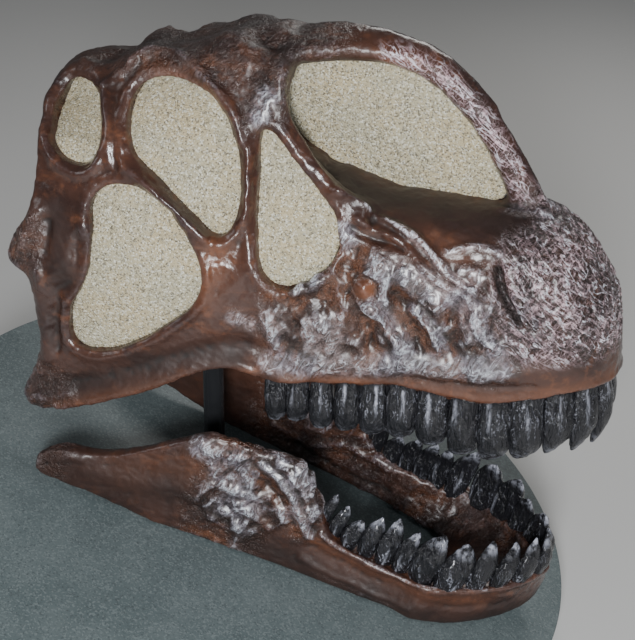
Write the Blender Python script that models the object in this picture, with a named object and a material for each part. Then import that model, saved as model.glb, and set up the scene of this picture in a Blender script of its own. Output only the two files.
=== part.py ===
"""Long-necked dinosaur skull, a life-size cast on its museum stand.

The skull frame has its origin on the midline, level with the upper tooth line:
+X runs forward to the snout, +Y to the skull's left and +Z up. The lower jaw
lies on the sloping top of the plinth and is modelled in that slope's own frame.
All sizes are in metres.
"""
import bpy
import bmesh
import math
import numpy as np
from mathutils import Vector

# ---- Driving dimensions ---------------------------------------------------
GAP = 0.0003                 # clearance between two pieces that meet
HALF_GAP = GAP / 2
VOXEL = 0.0042               # grain of the cast's first shape
SHELL_SHARE = 0.012          # share of the faces that the cranium's skin keeps
CASE_SHARE = 0.012           # the same for the braincase
SNOUT_X = 0.289              # front of the cranium
FLOOR_Z = -0.355             # underside of the plinth
WALL = 0.020                 # thickness of the cheek wall
ROOF = 0.018                 # thickness of the skull roof
CASE_MARGIN = 0.001          # room between the walls and what is inside them
PANEL_OUT = 0.009            # depth of the sanded panels below the bone
PANEL_IN = 0.015             # depth of their back faces
CASE_FRONT_X = -0.056        # front end of the braincase and palate
SLOPE = math.radians(14.54)  # slope of the plinth top, down towards the snout
SLOPE_Z = -0.2377            # height of that slope under the origin
DISC_X, DISC_RADIUS, DISC_THICK = -0.074, 0.345, 0.018
DRUM_RADIUS = 0.318
POST_X, POST_RADIUS, POST_TOP = -0.108, 0.0105, 0.040
SADDLE_THICK = 0.006
COLLAR_RADIUS, COLLAR_THICK = 0.022, 0.005
BOARD_EDGE = 0.002           # chamfer round the board
BOARD_REAR_X = (DISC_X - DISC_RADIUS) * math.cos(SLOPE) - (DISC_THICK - BOARD_EDGE) * math.sin(SLOPE)
MIDDLE_X = (BOARD_REAR_X + SNOUT_X) / 2
SADDLE_HALF_LENGTH, SADDLE_HALF_WIDTH, SADDLE_EDGE = 0.028, 0.019, 0.001

# Cranium behind the snout, station by station along X:
# x, crown height, half-width at the crown, at the waist and at the cheek.
VAULT = [
    (-0.300, 0.225, 0.030, 0.085, 0.110),
    (-0.235, 0.238, 0.034, 0.093, 0.118),
    (-0.200, 0.250, 0.038, 0.098, 0.122),
    (-0.170, 0.262, 0.040, 0.100, 0.124),
    (-0.130, 0.268, 0.042, 0.098, 0.123),
    (-0.090, 0.280, 0.042, 0.092, 0.118),
    (-0.050, 0.290, 0.038, 0.083, 0.110),
    (0.000, 0.292, 0.034, 0.074, 0.101),
    (0.050, 0.288, 0.030, 0.067, 0.091),
    (0.110, 0.280, 0.022, 0.058, 0.082),
]
INNER_SPAN = (-0.320, 0.130)  # stretch of a body that hollows this one, open at both ends
WAIST_Z, CHEEK_Z = 0.175, 0.085
VAULT_FLOOR_Z = -0.130       # below everything the side outline keeps

# Side outlines (x, z), run through by smooth closed curves.
VAULT_SIDE = [
    (-0.150, 0.320), (-0.205, 0.285), (-0.232, 0.255), (-0.243, 0.225),
    (-0.241, 0.190), (-0.240, 0.158), (-0.245, 0.122), (-0.261, 0.097),
    (-0.266, 0.074), (-0.246, 0.060), (-0.240, 0.028), (-0.237, -0.006),
    (-0.246, -0.034), (-0.261, -0.064), (-0.256, -0.084), (-0.222, -0.080),
    (-0.190, -0.065), (-0.146, -0.044), (-0.112, -0.027), (-0.080, -0.010),
    (-0.052, -0.004), (-0.028, -0.012), (0.010, -0.015), (0.046, 0.020),
    (0.064, 0.100), (0.064, 0.148), (0.050, 0.162), (0.034, 0.171),
    (0.015, 0.186), (0.000, 0.201), (-0.011, 0.217), (-0.018, 0.240),
    (-0.018, 0.285), (-0.045, 0.325),
]
OPENINGS = {
    "supratemporal": [
        (-0.234, 0.206), (-0.228, 0.226), (-0.208, 0.232), (-0.190, 0.224),
        (-0.180, 0.205), (-0.178, 0.186), (-0.190, 0.173), (-0.212, 0.174),
        (-0.228, 0.188),
    ],
    "orbit": [
        (-0.157, 0.216), (-0.150, 0.238), (-0.127, 0.248), (-0.095, 0.246),
        (-0.068, 0.228), (-0.052, 0.196), (-0.048, 0.155), (-0.054, 0.130),
        (-0.068, 0.125), (-0.090, 0.142), (-0.121, 0.168), (-0.147, 0.188),
    ],
    "infratemporal": [
        (-0.180, 0.142), (-0.166, 0.159), (-0.138, 0.161), (-0.110, 0.146),
        (-0.085, 0.116), (-0.075, 0.085), (-0.084, 0.058), (-0.115, 0.030),
        (-0.150, 0.006), (-0.185, -0.004), (-0.203, 0.006), (-0.201, 0.038),
        (-0.184, 0.074), (-0.180, 0.110),
    ],
    "antorbital": [
        (-0.035, 0.214), (-0.022, 0.213), (-0.004, 0.194), (0.018, 0.170),
        (0.038, 0.144), (0.037, 0.112), (0.020, 0.091), (-0.006, 0.083),
        (-0.024, 0.096), (-0.031, 0.130), (-0.034, 0.175),
    ],
}
# How near to the middle the openings reach.
OPENING_REACH = {"supratemporal": 0.020, "orbit": 0.020, "infratemporal": 0.020, "antorbital": 0.044}
NARIS_PANEL = [
    (-0.034, 0.236), (-0.020, 0.256), (0.010, 0.268), (0.045, 0.271),
    (0.078, 0.265), (0.110, 0.246), (0.136, 0.216), (0.156, 0.182),
    (0.166, 0.158), (0.125, 0.154), (0.085, 0.153), (0.055, 0.160),
    (0.024, 0.168), (0.000, 0.180), (-0.018, 0.193), (-0.030, 0.212),
]
NARIS_PANEL_HALF = 0.003     # half the thickness of the middle panel

# Floor of the nostrils, rising behind into their rear wall: x, z, half-width.
NARIS_FLOOR = [
    (0.095, 0.143, 0.054), (0.055, 0.153, 0.060), (0.022, 0.161, 0.064),
    (-0.004, 0.173, 0.064), (-0.024, 0.186, 0.062), (-0.036, 0.204, 0.058),
    (-0.041, 0.228, 0.052), (-0.042, 0.262, 0.040),
]
NARIS_FLOOR_HALF = 0.007     # half its thickness

# Bar of bone over the nostrils, front to back: x, z, half-width, half-height.
ARCH = [
    (0.204, 0.126, 0.020, 0.020), (0.190, 0.156, 0.016, 0.016),
    (0.176, 0.183, 0.014, 0.014), (0.156, 0.215, 0.014, 0.013),
    (0.130, 0.244, 0.015, 0.012), (0.100, 0.267, 0.018, 0.012),
    (0.066, 0.278, 0.021, 0.012), (0.030, 0.281, 0.027, 0.013),
    (0.000, 0.278, 0.036, 0.014), (-0.030, 0.274, 0.044, 0.014),
    (-0.060, 0.268, 0.044, 0.013),
]

# Snout: straight-sided behind, closed in front by one rounded curve.
SNOUT_REAR_X, SNOUT_TURN_X = -0.012, 0.165
SNOUT_HALF_REAR, SNOUT_HALF_TURN = 0.102, 0.078
SNOUT_ROUND = 2.3            # squareness of the snout seen from above
SNOUT_SQUARE = (3.4, 2.2)    # squareness of its upper sections, behind and in front
SNOUT_TOP = [
    (-0.012, 0.100), (0.020, 0.140), (0.050, 0.156), (0.080, 0.155),
    (0.130, 0.154), (0.190, 0.152), (0.220, 0.144), (0.246, 0.126),
    (0.266, 0.102), (0.279, 0.076), (0.289, 0.028),
]
TOOTH_LINE = [               # lower edge of the snout: x, z
    (-0.012, -0.015), (0.060, -0.014), (0.100, -0.009), (0.170, -0.016),
    (0.215, -0.009), (0.250, -0.001), (0.289, 0.002),
]
PALATE_FLOOR_Z = -0.060      # below the tooth line
PALATE_RISE = 0.048          # height of the hollow between the tooth rows
JAW_WALL = 0.026             # bone between that hollow and the outer face

# Lower jaw in the slope's frame: x, top, bottom.
JAW = [
    (-0.265, 0.040, 0.022), (-0.256, 0.048, 0.014), (-0.236, 0.056, 0.013),
    (-0.212, 0.061, 0.012), (-0.186, 0.072, 0.008), (-0.160, 0.090, 0.004),
    (-0.134, 0.109, 0.001), (-0.108, 0.126, 0.001), (-0.080, 0.130, 0.001),
    (-0.050, 0.127, 0.001), (-0.026, 0.128, 0.001), (-0.006, 0.113, 0.001),
    (0.012, 0.086, 0.001), (0.030, 0.060, 0.001), (0.058, 0.050, 0.001),
    (0.095, 0.048, 0.001), (0.130, 0.049, 0.001),
]
# Outer face of the jaw seen from above, up to the turn of the chin: x, half-width.
JAW_PLAN = [(-0.265, 0.121), (0.061, 0.088), (0.108, 0.087), (0.130, 0.090)]
JAW_TURN_X, JAW_HALF_TURN = JAW_PLAN[-1]
JAW_FRONT_X = 0.238
JAW_ROUND = 1.5              # squareness of the chin seen from above
JAW_THICK = 0.018
CHIN_TOP, CHIN_BOTTOM = 0.064, 0.013
CHIN_THICK = 0.024           # bone behind the front teeth
SHELF_X, SHELF_FRONT_X, SHELF_HALF = 0.112, 0.142, 0.056   # lower edge inside the chin
FRONT_STEPS = 6              # stations round each side of the chin
# Outline of a section: share from the outer face to the inner one, height share.
JAW_OUTER = [(0.10, 1.0), (0.0, 0.84), (0.0, 0.30)]
JAW_BASE = [(0.12, 0.06), (0.40, 0.0), (0.85, 0.04), (1.0, 0.16)]

# Teeth on each side, counted from the midline.
UPPER_FRONT_TEETH, UPPER_TEETH, LOWER_TEETH = 4, 13, 12
TOOTH_ROOT = 0.009           # length hidden in the bone
TOOTH_SIDES = 5
# Sections of a tooth: place along it (-1 is the root's end), half-width and
# half-depth in spacings, lean outwards in lengths.
TOOTH_SECTIONS = [
    (-1, 0.38, 0.32, 0.0), (0.35, 0.47, 0.37, 0.03), (0.82, 0.41, 0.28, 0.01), (1.0, 0.20, 0.14, -0.03),
]

# Sutures of the right side as (x, z) regions that share their corners.
REGIONS = {
    "premaxilla": [
        (0.207, -0.10), (0.207, 0.02), (0.188, 0.09), (0.150, 0.165),
        (0.118, 0.213), (0.118, 0.34), (0.40, 0.34), (0.40, -0.10),
    ],
    "nasal": [
        (-0.045, 0.34), (0.118, 0.34), (0.118, 0.213), (-0.010, 0.240),
        (-0.028, 0.222), (-0.045, 0.258),
    ],
    "maxilla": [
        (-0.034, -0.10), (-0.024, 0.03), (-0.014, 0.098), (-0.030, 0.195),
        (-0.028, 0.222), (-0.010, 0.240), (0.118, 0.213), (0.150, 0.165),
        (0.188, 0.09),
        (0.207, 0.02), (0.207, -0.10),
    ],
    "lacrimal": [
        (-0.045, 0.258), (-0.028, 0.222), (-0.030, 0.195), (-0.014, 0.098),
        (-0.056, 0.146), (-0.085, 0.210),
    ],
    "jugal": [
        (-0.034, -0.10), (-0.120, -0.10), (-0.116, -0.026), (-0.100, 0.060),
        (-0.106, 0.120), (-0.082, 0.128), (-0.098, 0.180), (-0.056, 0.146),
        (-0.014, 0.098), (-0.024, 0.03),
    ],
    "quadratojugal": [
        (-0.120, -0.10), (-0.30, -0.10), (-0.30, 0.045), (-0.185, 0.062),
        (-0.100, 0.060), (-0.116, -0.026),
    ],
    "squamosal": [
        (-0.30, 0.045), (-0.30, 0.34), (-0.205, 0.34), (-0.192, 0.235),
        (-0.158, 0.186), (-0.150, 0.140), (-0.185, 0.062),
    ],
    "postorbital": [
        (-0.158, 0.186), (-0.192, 0.235), (-0.150, 0.262), (-0.120, 0.262),
        (-0.085, 0.210), (-0.098, 0.180), (-0.082, 0.128), (-0.106, 0.120),
        (-0.150, 0.140),
    ],
    "frontal": [
        (-0.045, 0.34), (-0.045, 0.258), (-0.085, 0.210), (-0.120, 0.262),
        (-0.124, 0.34),
    ],
    "parietal": [
        (-0.124, 0.34), (-0.120, 0.262), (-0.150, 0.262), (-0.192, 0.235),
        (-0.205, 0.34),
    ],
}
JAW_REGIONS = {
    "dentary": [
        (0.30, -0.05), (-0.030, -0.05), (-0.034, 0.050), (-0.004, 0.085),
        (-0.012, 0.20), (0.30, 0.20),
    ],
    "surangular": [
        (-0.012, 0.20), (-0.004, 0.085), (-0.034, 0.050), (-0.160, 0.050),
        (-0.205, 0.034), (-0.30, 0.034), (-0.30, 0.20),
    ],
    "angular": [
        (-0.030, -0.05), (-0.30, -0.05), (-0.30, 0.034), (-0.205, 0.034),
        (-0.160, 0.050), (-0.034, 0.050),
    ],
}

COLOURS = {                  # colour, roughness
    "bone": ((0.115, 0.040, 0.024), 0.32),
    "bone_dark": ((0.060, 0.026, 0.018), 0.40),
    "tooth": ((0.016, 0.014, 0.016), 0.22),
    "sand": ((0.42, 0.36, 0.24), 0.85),
    "black_paint": ((0.010, 0.010, 0.012), 0.25),
    "laminate": ((0.13, 0.165, 0.165), 0.45),
    "drum_paint": ((0.16, 0.19, 0.19), 0.50),
}


# ---- Small tools ----------------------------------------------------------
def material(name):
    if name in bpy.data.materials:
        return bpy.data.materials[name]
    colour, roughness = COLOURS[name]
    made = bpy.data.materials.new(name)
    made.use_nodes = True
    shader = made.node_tree.nodes["Principled BSDF"]
    shader.inputs["Base Color"].default_value = (*colour, 1)
    shader.inputs["Roughness"].default_value = roughness
    shader.inputs["Metallic"].default_value = 0
    return made


def add_object(name, bm):
    """Turn a bmesh into an object of the scene."""
    bmesh.ops.recalc_face_normals(bm, faces=bm.faces)
    mesh = bpy.data.meshes.new(name)
    bm.to_mesh(mesh)
    bm.free()
    made = bpy.data.objects.new(name, mesh)
    bpy.context.collection.objects.link(made)
    return made


def remove(made):
    bpy.data.objects.remove(made, do_unlink=True)


def bake(made):
    """Replace an object's mesh by what its modifiers make of it."""
    graph = bpy.context.evaluated_depsgraph_get()
    mesh = bpy.data.meshes.new_from_object(made.evaluated_get(graph))
    made.modifiers.clear()
    made.data = mesh


def cut(made, cutter, operation="DIFFERENCE", keep=False):
    """Join, trim or intersect one closed body with another."""
    step = made.modifiers.new("cut", "BOOLEAN")
    step.operation = operation
    step.object = cutter
    step.solver = "EXACT"
    bake(made)
    if not keep:
        remove(cutter)
    return made


def copy(made, name):
    twin = made.copy()
    twin.data = made.data.copy()
    twin.name = name
    bpy.context.collection.objects.link(twin)
    return twin


def between(value, table, column):
    """Read a column of a station table at any place along its first column."""
    rows = sorted(table)
    return float(np.interp(value, [r[0] for r in rows], [r[column] for r in rows]))


def smooth_loop(points, steps=4):
    """A closed curve through the points, with more points between them."""
    count = len(points)
    loop = []
    for i in range(count):
        p = [np.array(points[(i + k) % count]) for k in (-1, 0, 1, 2)]
        for j in range(steps):
            t = j / steps
            a = 2 * p[1]
            b = (p[2] - p[0]) * t
            c = (2 * p[0] - 5 * p[1] + 4 * p[2] - p[3]) * t ** 2
            d = (3 * p[1] - p[0] - 3 * p[2] + p[3]) * t ** 3
            loop.append(tuple((a + b + c + d) / 2))
    return loop


def offset_loop(loop, distance):
    """Move a closed outline outwards (or inwards, where distance is negative)."""
    pts = np.array(loop)
    ahead = np.roll(pts, -1, axis=0)
    turn = np.sum(pts[:, 0] * ahead[:, 1] - ahead[:, 0] * pts[:, 1])
    edge = ahead - pts
    edge /= np.linalg.norm(edge, axis=1)[:, None]
    normal = np.stack([edge[:, 1], -edge[:, 0]], 1) * math.copysign(1, turn)
    corner = normal + np.roll(normal, 1, axis=0)
    length = np.sum(corner * normal, axis=1)[:, None]
    return (pts + corner / length * distance).tolist()


def side_prism(loop, y_low, y_high, name="prism"):
    """Extrude an (x, z) outline along Y."""
    bm = bmesh.new()
    near = [bm.verts.new((x, y_low, z)) for x, z in loop]
    far = [bm.verts.new((x, y_high, z)) for x, z in loop]
    bm.faces.new(near)
    bm.faces.new(list(reversed(far)))
    for i in range(len(loop)):
        j = (i + 1) % len(loop)
        bm.faces.new((near[j], near[i], far[i], far[j]))
    return add_object(name, bm)


def box(low, high, name="box"):
    outline = [(low[0], low[2]), (high[0], low[2]), (high[0], high[2]), (low[0], high[2])]
    return side_prism(outline, low[1], high[1], name)


def skin(rings, name="skin"):
    """A closed body through rings of points, flat at both ends."""
    bm = bmesh.new()
    loops = [[bm.verts.new(p) for p in ring] for ring in rings]
    for first, second in zip(loops, loops[1:]):
        for i in range(len(first)):
            j = (i + 1) % len(first)
            bm.faces.new((first[i], first[j], second[j], second[i]))
    bm.faces.new(loops[0])
    bm.faces.new(loops[-1])
    return add_object(name, bm)


def ball(centre, radii, name="ball"):
    bm = bmesh.new()
    bmesh.ops.create_icosphere(bm, subdivisions=3, radius=1)
    bmesh.ops.scale(bm, vec=radii, verts=bm.verts)
    bmesh.ops.translate(bm, vec=centre, verts=bm.verts)
    return add_object(name, bm)


def tube(points, widths, heights, name="tube", sides=12):
    """A bar through points, with its own half-width (Y) and half-height."""
    pts = [Vector(p) for p in points]
    rings = []
    for i, p in enumerate(pts):
        ahead = pts[min(i + 1, len(pts) - 1)] - pts[max(i - 1, 0)]
        ahead.normalize()
        across = (Vector((0, 1, 0)) - ahead * ahead.y).normalized()
        rise = ahead.cross(across)
        ring = []
        for k in range(sides):
            a = 2 * math.pi * k / sides
            ring.append(p + across * widths[i] * math.cos(a) + rise * heights[i] * math.sin(a))
        rings.append(ring)
    return skin(rings, name)


def fuse(bodies, name, voxel, rounds, ratio):
    """Melt overlapping bodies into one skin, soften it and thin its faces."""
    whole = bodies[0]
    bm = bmesh.new()
    for body in bodies:
        bm.from_mesh(body.data)
    for body in bodies[1:]:
        remove(body)
    bm.to_mesh(whole.data)
    bm.free()
    whole.name = name
    melt = whole.modifiers.new("melt", "REMESH")
    melt.mode = "VOXEL"
    melt.voxel_size = voxel
    soften = whole.modifiers.new("soften", "SMOOTH")
    soften.factor = 0.5
    soften.iterations = rounds
    thin = whole.modifiers.new("thin", "DECIMATE")
    thin.ratio = ratio
    bake(whole)
    return whole


def keep_largest(made):
    """Drop the crumbs that a cut can leave beside the piece."""
    bm = bmesh.new()
    bm.from_mesh(made.data)
    bmesh.ops.remove_doubles(bm, verts=bm.verts, dist=1e-6)
    bmesh.ops.dissolve_degenerate(bm, edges=bm.edges, dist=1e-6)
    bm.faces.ensure_lookup_table()
    seen = set()
    groups = []
    for face in bm.faces:
        if face in seen:
            continue
        group = [face]
        seen.add(face)
        for member in group:
            for edge in member.edges:
                for other in edge.link_faces:
                    if other not in seen:
                        seen.add(other)
                        group.append(other)
        groups.append(group)
    groups.sort(key=lambda group: -sum(face.calc_area() for face in group))
    crumbs = [face for group in groups[1:] for face in group]
    bmesh.ops.delete(bm, geom=crumbs, context="FACES")
    loose = [v for v in bm.verts if not v.link_faces]
    bmesh.ops.delete(bm, geom=loose, context="VERTS")
    bm.to_mesh(made.data)
    bm.free()
    return made


# ---- Cranium --------------------------------------------------------------
def vault_body(inset=0.0, crown_inset=0.0, x_low=-0.300, x_high=0.110, name="vault"):
    """The cranium behind the snout as one closed body, its faces set in by inset."""
    xs = sorted({x_low, x_high, *(r[0] for r in VAULT if x_low < r[0] < x_high)})
    rings = []
    for x in xs:
        top = between(x, VAULT, 1) - crown_inset
        crown, waist, cheek = (between(x, VAULT, k) - inset for k in (2, 3, 4))
        side = [
            (crown * 0.5, top), (crown, top - 0.006), (crown + 0.013, top - 0.022),
            ((crown + 0.013 + waist) / 2 + 0.004, (top - 0.022 + WAIST_Z) / 2),
            (waist, WAIST_Z), (cheek, CHEEK_Z), (cheek * 0.985, 0.010),
            (cheek * 0.95, VAULT_FLOOR_Z),
        ]
        ring = [(x, y, z) for y, z in side]
        ring += [(x, -y, z) for y, z in reversed(side)]
        rings.append(ring)
    return skin(rings, name)


def snout_half(x, inset=0.0):
    """Half-width of the snout, seen from above."""
    if x <= SNOUT_TURN_X:
        t = max(x - SNOUT_REAR_X, 0) / (SNOUT_TURN_X - SNOUT_REAR_X)
        return SNOUT_HALF_REAR + (SNOUT_HALF_TURN - SNOUT_HALF_REAR) * t ** 0.7 - inset
    u = min((x - SNOUT_TURN_X) / (SNOUT_X - inset - SNOUT_TURN_X), 1)
    return (SNOUT_HALF_TURN - inset) * (1 - u ** SNOUT_ROUND) ** (1 / SNOUT_ROUND)


def snout_rings(inset, bottom_of, top_of, square_of, steps=22, sides=20):
    """Upright sections of the snout, from its back to its tip."""
    rings = []
    for i in range(steps + 1):
        u = 1 - (1 - i / steps) ** 1.8
        x = SNOUT_REAR_X + (SNOUT_X - inset - SNOUT_REAR_X) * min(u, 0.9995)
        half = max(snout_half(x, inset), 0.002)
        top, bottom = top_of(x), bottom_of(x)
        middle = (top + bottom) / 2
        rise = (top - bottom) / 2
        ring = []
        for k in range(sides):
            a = 2 * math.pi * k / sides
            power = 2 / (square_of(x) if math.sin(a) > 0 else 6)
            y = half * math.copysign(abs(math.cos(a)) ** power, math.cos(a))
            z = middle + rise * math.copysign(abs(math.sin(a)) ** power, math.sin(a))
            ring.append((x, y, z))
        rings.append(ring)
    return rings


def snout_square(x):
    share = (x - SNOUT_REAR_X) / (SNOUT_X - SNOUT_REAR_X)
    return SNOUT_SQUARE[0] + (SNOUT_SQUARE[1] - SNOUT_SQUARE[0]) * share


def palate_height(x):
    return PALATE_RISE * (1 - max(x, 0) / 0.45)


def snout_top(x):
    return between(x, SNOUT_TOP, 1)


def tooth_line(x):
    return between(x, TOOTH_LINE, 1)


def snout_body():
    """Solid snout with the arched palate hollowed from below."""
    body = skin(snout_rings(0, tooth_line, snout_top, snout_square))
    hollow = skin(snout_rings(JAW_WALL, lambda x: PALATE_FLOOR_Z, palate_height, lambda x: 2.4))
    return cut(body, hollow)


def opening_prism(place, grow, name="prism"):
    """One right-hand opening's outline, grown by a margin and extruded outwards."""
    loop = offset_loop(smooth_loop(OPENINGS[place], 2), grow)
    return side_prism(loop, -0.2, -OPENING_REACH[place], name)


def cheek_wall():
    """Side walls and roof of the cranium, cut to their outline."""
    wall = vault_body()
    cut(wall, side_prism(smooth_loop(VAULT_SIDE, 3), -0.2, 0.2), "INTERSECT")
    return cut(wall, vault_body(WALL, ROOF, *INNER_SPAN))


def nostril_arch():
    points = [(x, 0, z) for x, z, _, _ in ARCH]
    return tube(points, [r[2] for r in ARCH], [r[3] for r in ARCH], "arch")


def nostril_floor():
    points = [(x, 0, z) for x, z, _ in NARIS_FLOOR]
    return tube(points, [r[2] for r in NARIS_FLOOR], [NARIS_FLOOR_HALF] * len(points), "floor")


def cranium_shell():
    """Roof, cheeks, snout and nostril arch melted into one skin."""
    bodies = [cheek_wall(), snout_body(), nostril_arch(), nostril_floor()]
    shell = fuse(bodies, "shell", VOXEL, 6, SHELL_SHARE)
    for place in OPENINGS:
        cut(shell, opening_prism(place, HALF_GAP))
    slot = NARIS_PANEL_HALF + GAP
    cut(shell, side_prism(offset_loop(smooth_loop(NARIS_PANEL, 2), HALF_GAP), -slot, slot))
    room = CASE_MARGIN
    return cut(shell, vault_body(WALL + room, ROOF + room, INNER_SPAN[0], CASE_FRONT_X + GAP))


def right_half(made, name):
    """The right half of a body, clear of the middle plane."""
    return cut(copy(made, name), box((-0.6, -0.4, -0.4), (0.6, -HALF_GAP, 0.6)), "INTERSECT")


def pair(node, finish, parent=None):
    """Dress a right-hand piece and make its mirror image for the left."""
    twin = copy(node, node.name.replace("_right", "_left"))
    bm = bmesh.new()
    bm.from_mesh(twin.data)
    bmesh.ops.scale(bm, vec=(1, -1, 1), verts=bm.verts)
    bmesh.ops.reverse_faces(bm, faces=bm.faces)
    bm.to_mesh(twin.data)
    bm.free()
    dress(node, finish, parent)
    dress(twin, finish, parent)


def skull_bones(shell):
    """Part the shell along its sutures into the bones of each side."""
    whole = right_half(shell, "half")
    for bone, region in REGIONS.items():
        node = copy(whole, f"{bone}_right")
        cut(node, side_prism(offset_loop(region, -HALF_GAP), -0.4, 0.4), "INTERSECT")
        keep_largest(node)
        if bone == "premaxilla":
            plant_teeth(node, upper_teeth(0, UPPER_FRONT_TEETH))
        if bone == "maxilla":
            plant_teeth(node, upper_teeth(UPPER_FRONT_TEETH, UPPER_TEETH))
        pair(node, "bone")
    remove(whole)
    remove(shell)


def braincase():
    """Braincase, back plate with its ball joint, wings, palate and jaw joints."""
    bodies = [
        ball((-0.150, 0, 0.195), (0.062, 0.046, 0.075)),
        ball((-0.190, 0, 0.222), (0.022, 0.088, 0.052)),
        ball((-0.238, 0, 0.150), (0.020, 0.022, 0.019)),
        tube([(-0.17, 0, 0.170), (-0.236, 0, 0.151)], [0.026, 0.017], [0.026, 0.015]),
        tube([(-0.13, 0, 0.150), (-0.112, 0, 0.062)], [0.030, 0.020], [0.034, 0.026]),
        tube([(-0.13, 0, 0.085), (-0.040, 0, 0.060)], [0.012, 0.010], [0.020, 0.016]),
    ]
    for side in (-1, 1):
        bodies.append(tube(
            [(-0.190, side * 0.030, 0.196), (-0.216, side * 0.070, 0.158), (-0.236, side * 0.097, 0.100)],
            [0.014, 0.011, 0.009], [0.030, 0.026, 0.018]))
        bodies.append(tube(
            [(-0.196, side * 0.090, 0.190), (-0.214, side * 0.090, 0.120),
             (-0.224, side * 0.090, 0.030), (-0.236, side * 0.092, -0.062)],
            [0.011, 0.011, 0.013, 0.016], [0.022, 0.020, 0.017, 0.021]))
        bodies.append(tube(
            [(-0.108, side * 0.012, 0.072), (-0.160, side * 0.048, 0.062), (-0.216, side * 0.084, 0.046)],
            [0.008, 0.008, 0.008], [0.016, 0.026, 0.024]))
        bodies.append(tube(
            [(-0.108, side * 0.018, 0.070), (-0.075, side * 0.052, 0.040), (-0.040, side * 0.070, 0.022)],
            [0.009, 0.009, 0.012], [0.016, 0.013, 0.014]))
    hole = tube([(-0.30, 0, 0.205), (-0.150, 0, 0.188)], [0.017, 0.015], [0.019, 0.015])
    case = fuse(bodies, "braincase", VOXEL, 3, CASE_SHARE)
    cut(case, hole)
    room = CASE_MARGIN + GAP
    cut(case, vault_body(WALL + room, ROOF + room, INNER_SPAN[0], CASE_FRONT_X), "INTERSECT")
    cut(case, box((-0.14, -0.02, -0.2), (-0.07, 0.02, POST_TOP + GAP)))
    dress(keep_largest(case), "bone_dark")


def sand_panels():
    """Sanded panels that close the openings, a little below the bone."""
    for place in OPENINGS:
        panel = opening_prism(place, -HALF_GAP, f"panel_{place}_right")
        cut(panel, vault_body(PANEL_OUT, PANEL_OUT), "INTERSECT")
        cut(panel, vault_body(PANEL_IN, PANEL_IN, *INNER_SPAN))
        pair(keep_largest(panel), "sand")
    loop = offset_loop(smooth_loop(NARIS_PANEL, 2), -HALF_GAP)
    middle = side_prism(loop, -NARIS_PANEL_HALF, NARIS_PANEL_HALF, "panel_nostril")
    dress(middle, "sand")


# ---- Teeth ----------------------------------------------------------------
def arc_points(half_of, x_front, x_back, steps=160):
    """Points along one side's plan curve from the midline back, with arc lengths."""
    u = np.linspace(0, 1, steps)
    xs = x_front - (x_front - x_back) * u ** 2.4
    ys = np.array([half_of(x) for x in xs])
    ys[0] = 0
    arc = np.concatenate([[0], np.cumsum(np.hypot(np.diff(xs), np.diff(ys)))])
    return xs, ys, arc


def tooth_row(half_of, x_front, x_back, count, first, last):
    """Centre, direction along the row, spacing and number of the right-hand teeth."""
    xs, ys, arc = arc_points(half_of, x_front, x_back)
    pitch = arc[-1] / count
    row = []
    for i in range(first, last):
        middle = (i + 0.5) * pitch
        x, y = np.interp(middle, arc, xs), np.interp(middle, arc, ys)
        ahead_x = np.interp(middle + 0.004, arc, xs) - np.interp(middle - 0.004, arc, xs)
        ahead_y = np.interp(middle + 0.004, arc, ys) - np.interp(middle - 0.004, arc, ys)
        along = Vector((ahead_x, ahead_y, 0)).normalized()
        row.append((Vector((x, -y, 0)), Vector((along.x, -along.y, 0)), pitch, i))
    return row


def upper_teeth(first, last):
    row = tooth_row(lambda x: snout_half(x, 0.013), SNOUT_X - 0.013, -0.022, UPPER_TEETH, first, last)
    return [(centre + Vector((0, 0, tooth_line(centre.x))), along, pitch,
             -(0.066 - 0.018 * (i / UPPER_TEETH) ** 2)) for centre, along, pitch, i in row]


def lower_teeth():
    row = tooth_row(lambda x: jaw_half(x) - 0.010, JAW_FRONT_X - 0.010, 0.034, LOWER_TEETH, 0, LOWER_TEETH)
    return [(centre + Vector((0, 0, jaw_top(centre.x) - 0.004)), along, pitch,
             0.056 - 0.020 * (i / LOWER_TEETH) ** 1.5) for centre, along, pitch, i in row]


def tooth(centre, along, pitch, length):
    """One spoon-shaped crown, pointing up or down by the sign of its length."""
    outward = Vector((-along.y, along.x, 0))
    rings = []
    for place, wide, deep, lean in TOOTH_SECTIONS:
        reach = TOOTH_ROOT * place if place < 0 else abs(length) * place
        middle = centre + Vector((0, 0, math.copysign(1, length) * reach))
        middle += outward * lean * abs(length)
        ring = []
        for k in range(TOOTH_SIDES):
            a = 2 * math.pi * k / TOOTH_SIDES
            ring.append(middle + along * wide * pitch * math.cos(a) + outward * deep * pitch * math.sin(a))
        rings.append(ring)
    return skin(rings, "tooth")


def plant_teeth(bone, row):
    for centre, along, pitch, length in row:
        cut(bone, tooth(centre, along, pitch, length), "UNION")
    keep_largest(bone)


# ---- Lower jaw ------------------------------------------------------------
def jaw_half(x):
    """Half-width of the lower jaw's outer face, seen from above."""
    if x <= JAW_TURN_X:
        return between(x, JAW_PLAN, 1)
    u = min((x - JAW_TURN_X) / (JAW_FRONT_X - JAW_TURN_X), 1)
    return JAW_HALF_TURN * (1 - u ** JAW_ROUND) ** (1 / JAW_ROUND)


def jaw_top(x):
    if x <= JAW_TURN_X:
        return between(x, JAW, 1)
    t = (x - JAW_TURN_X) / (JAW_FRONT_X - JAW_TURN_X)
    return JAW[-1][1] + (CHIN_TOP - JAW[-1][1]) * t ** 1.3


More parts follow.
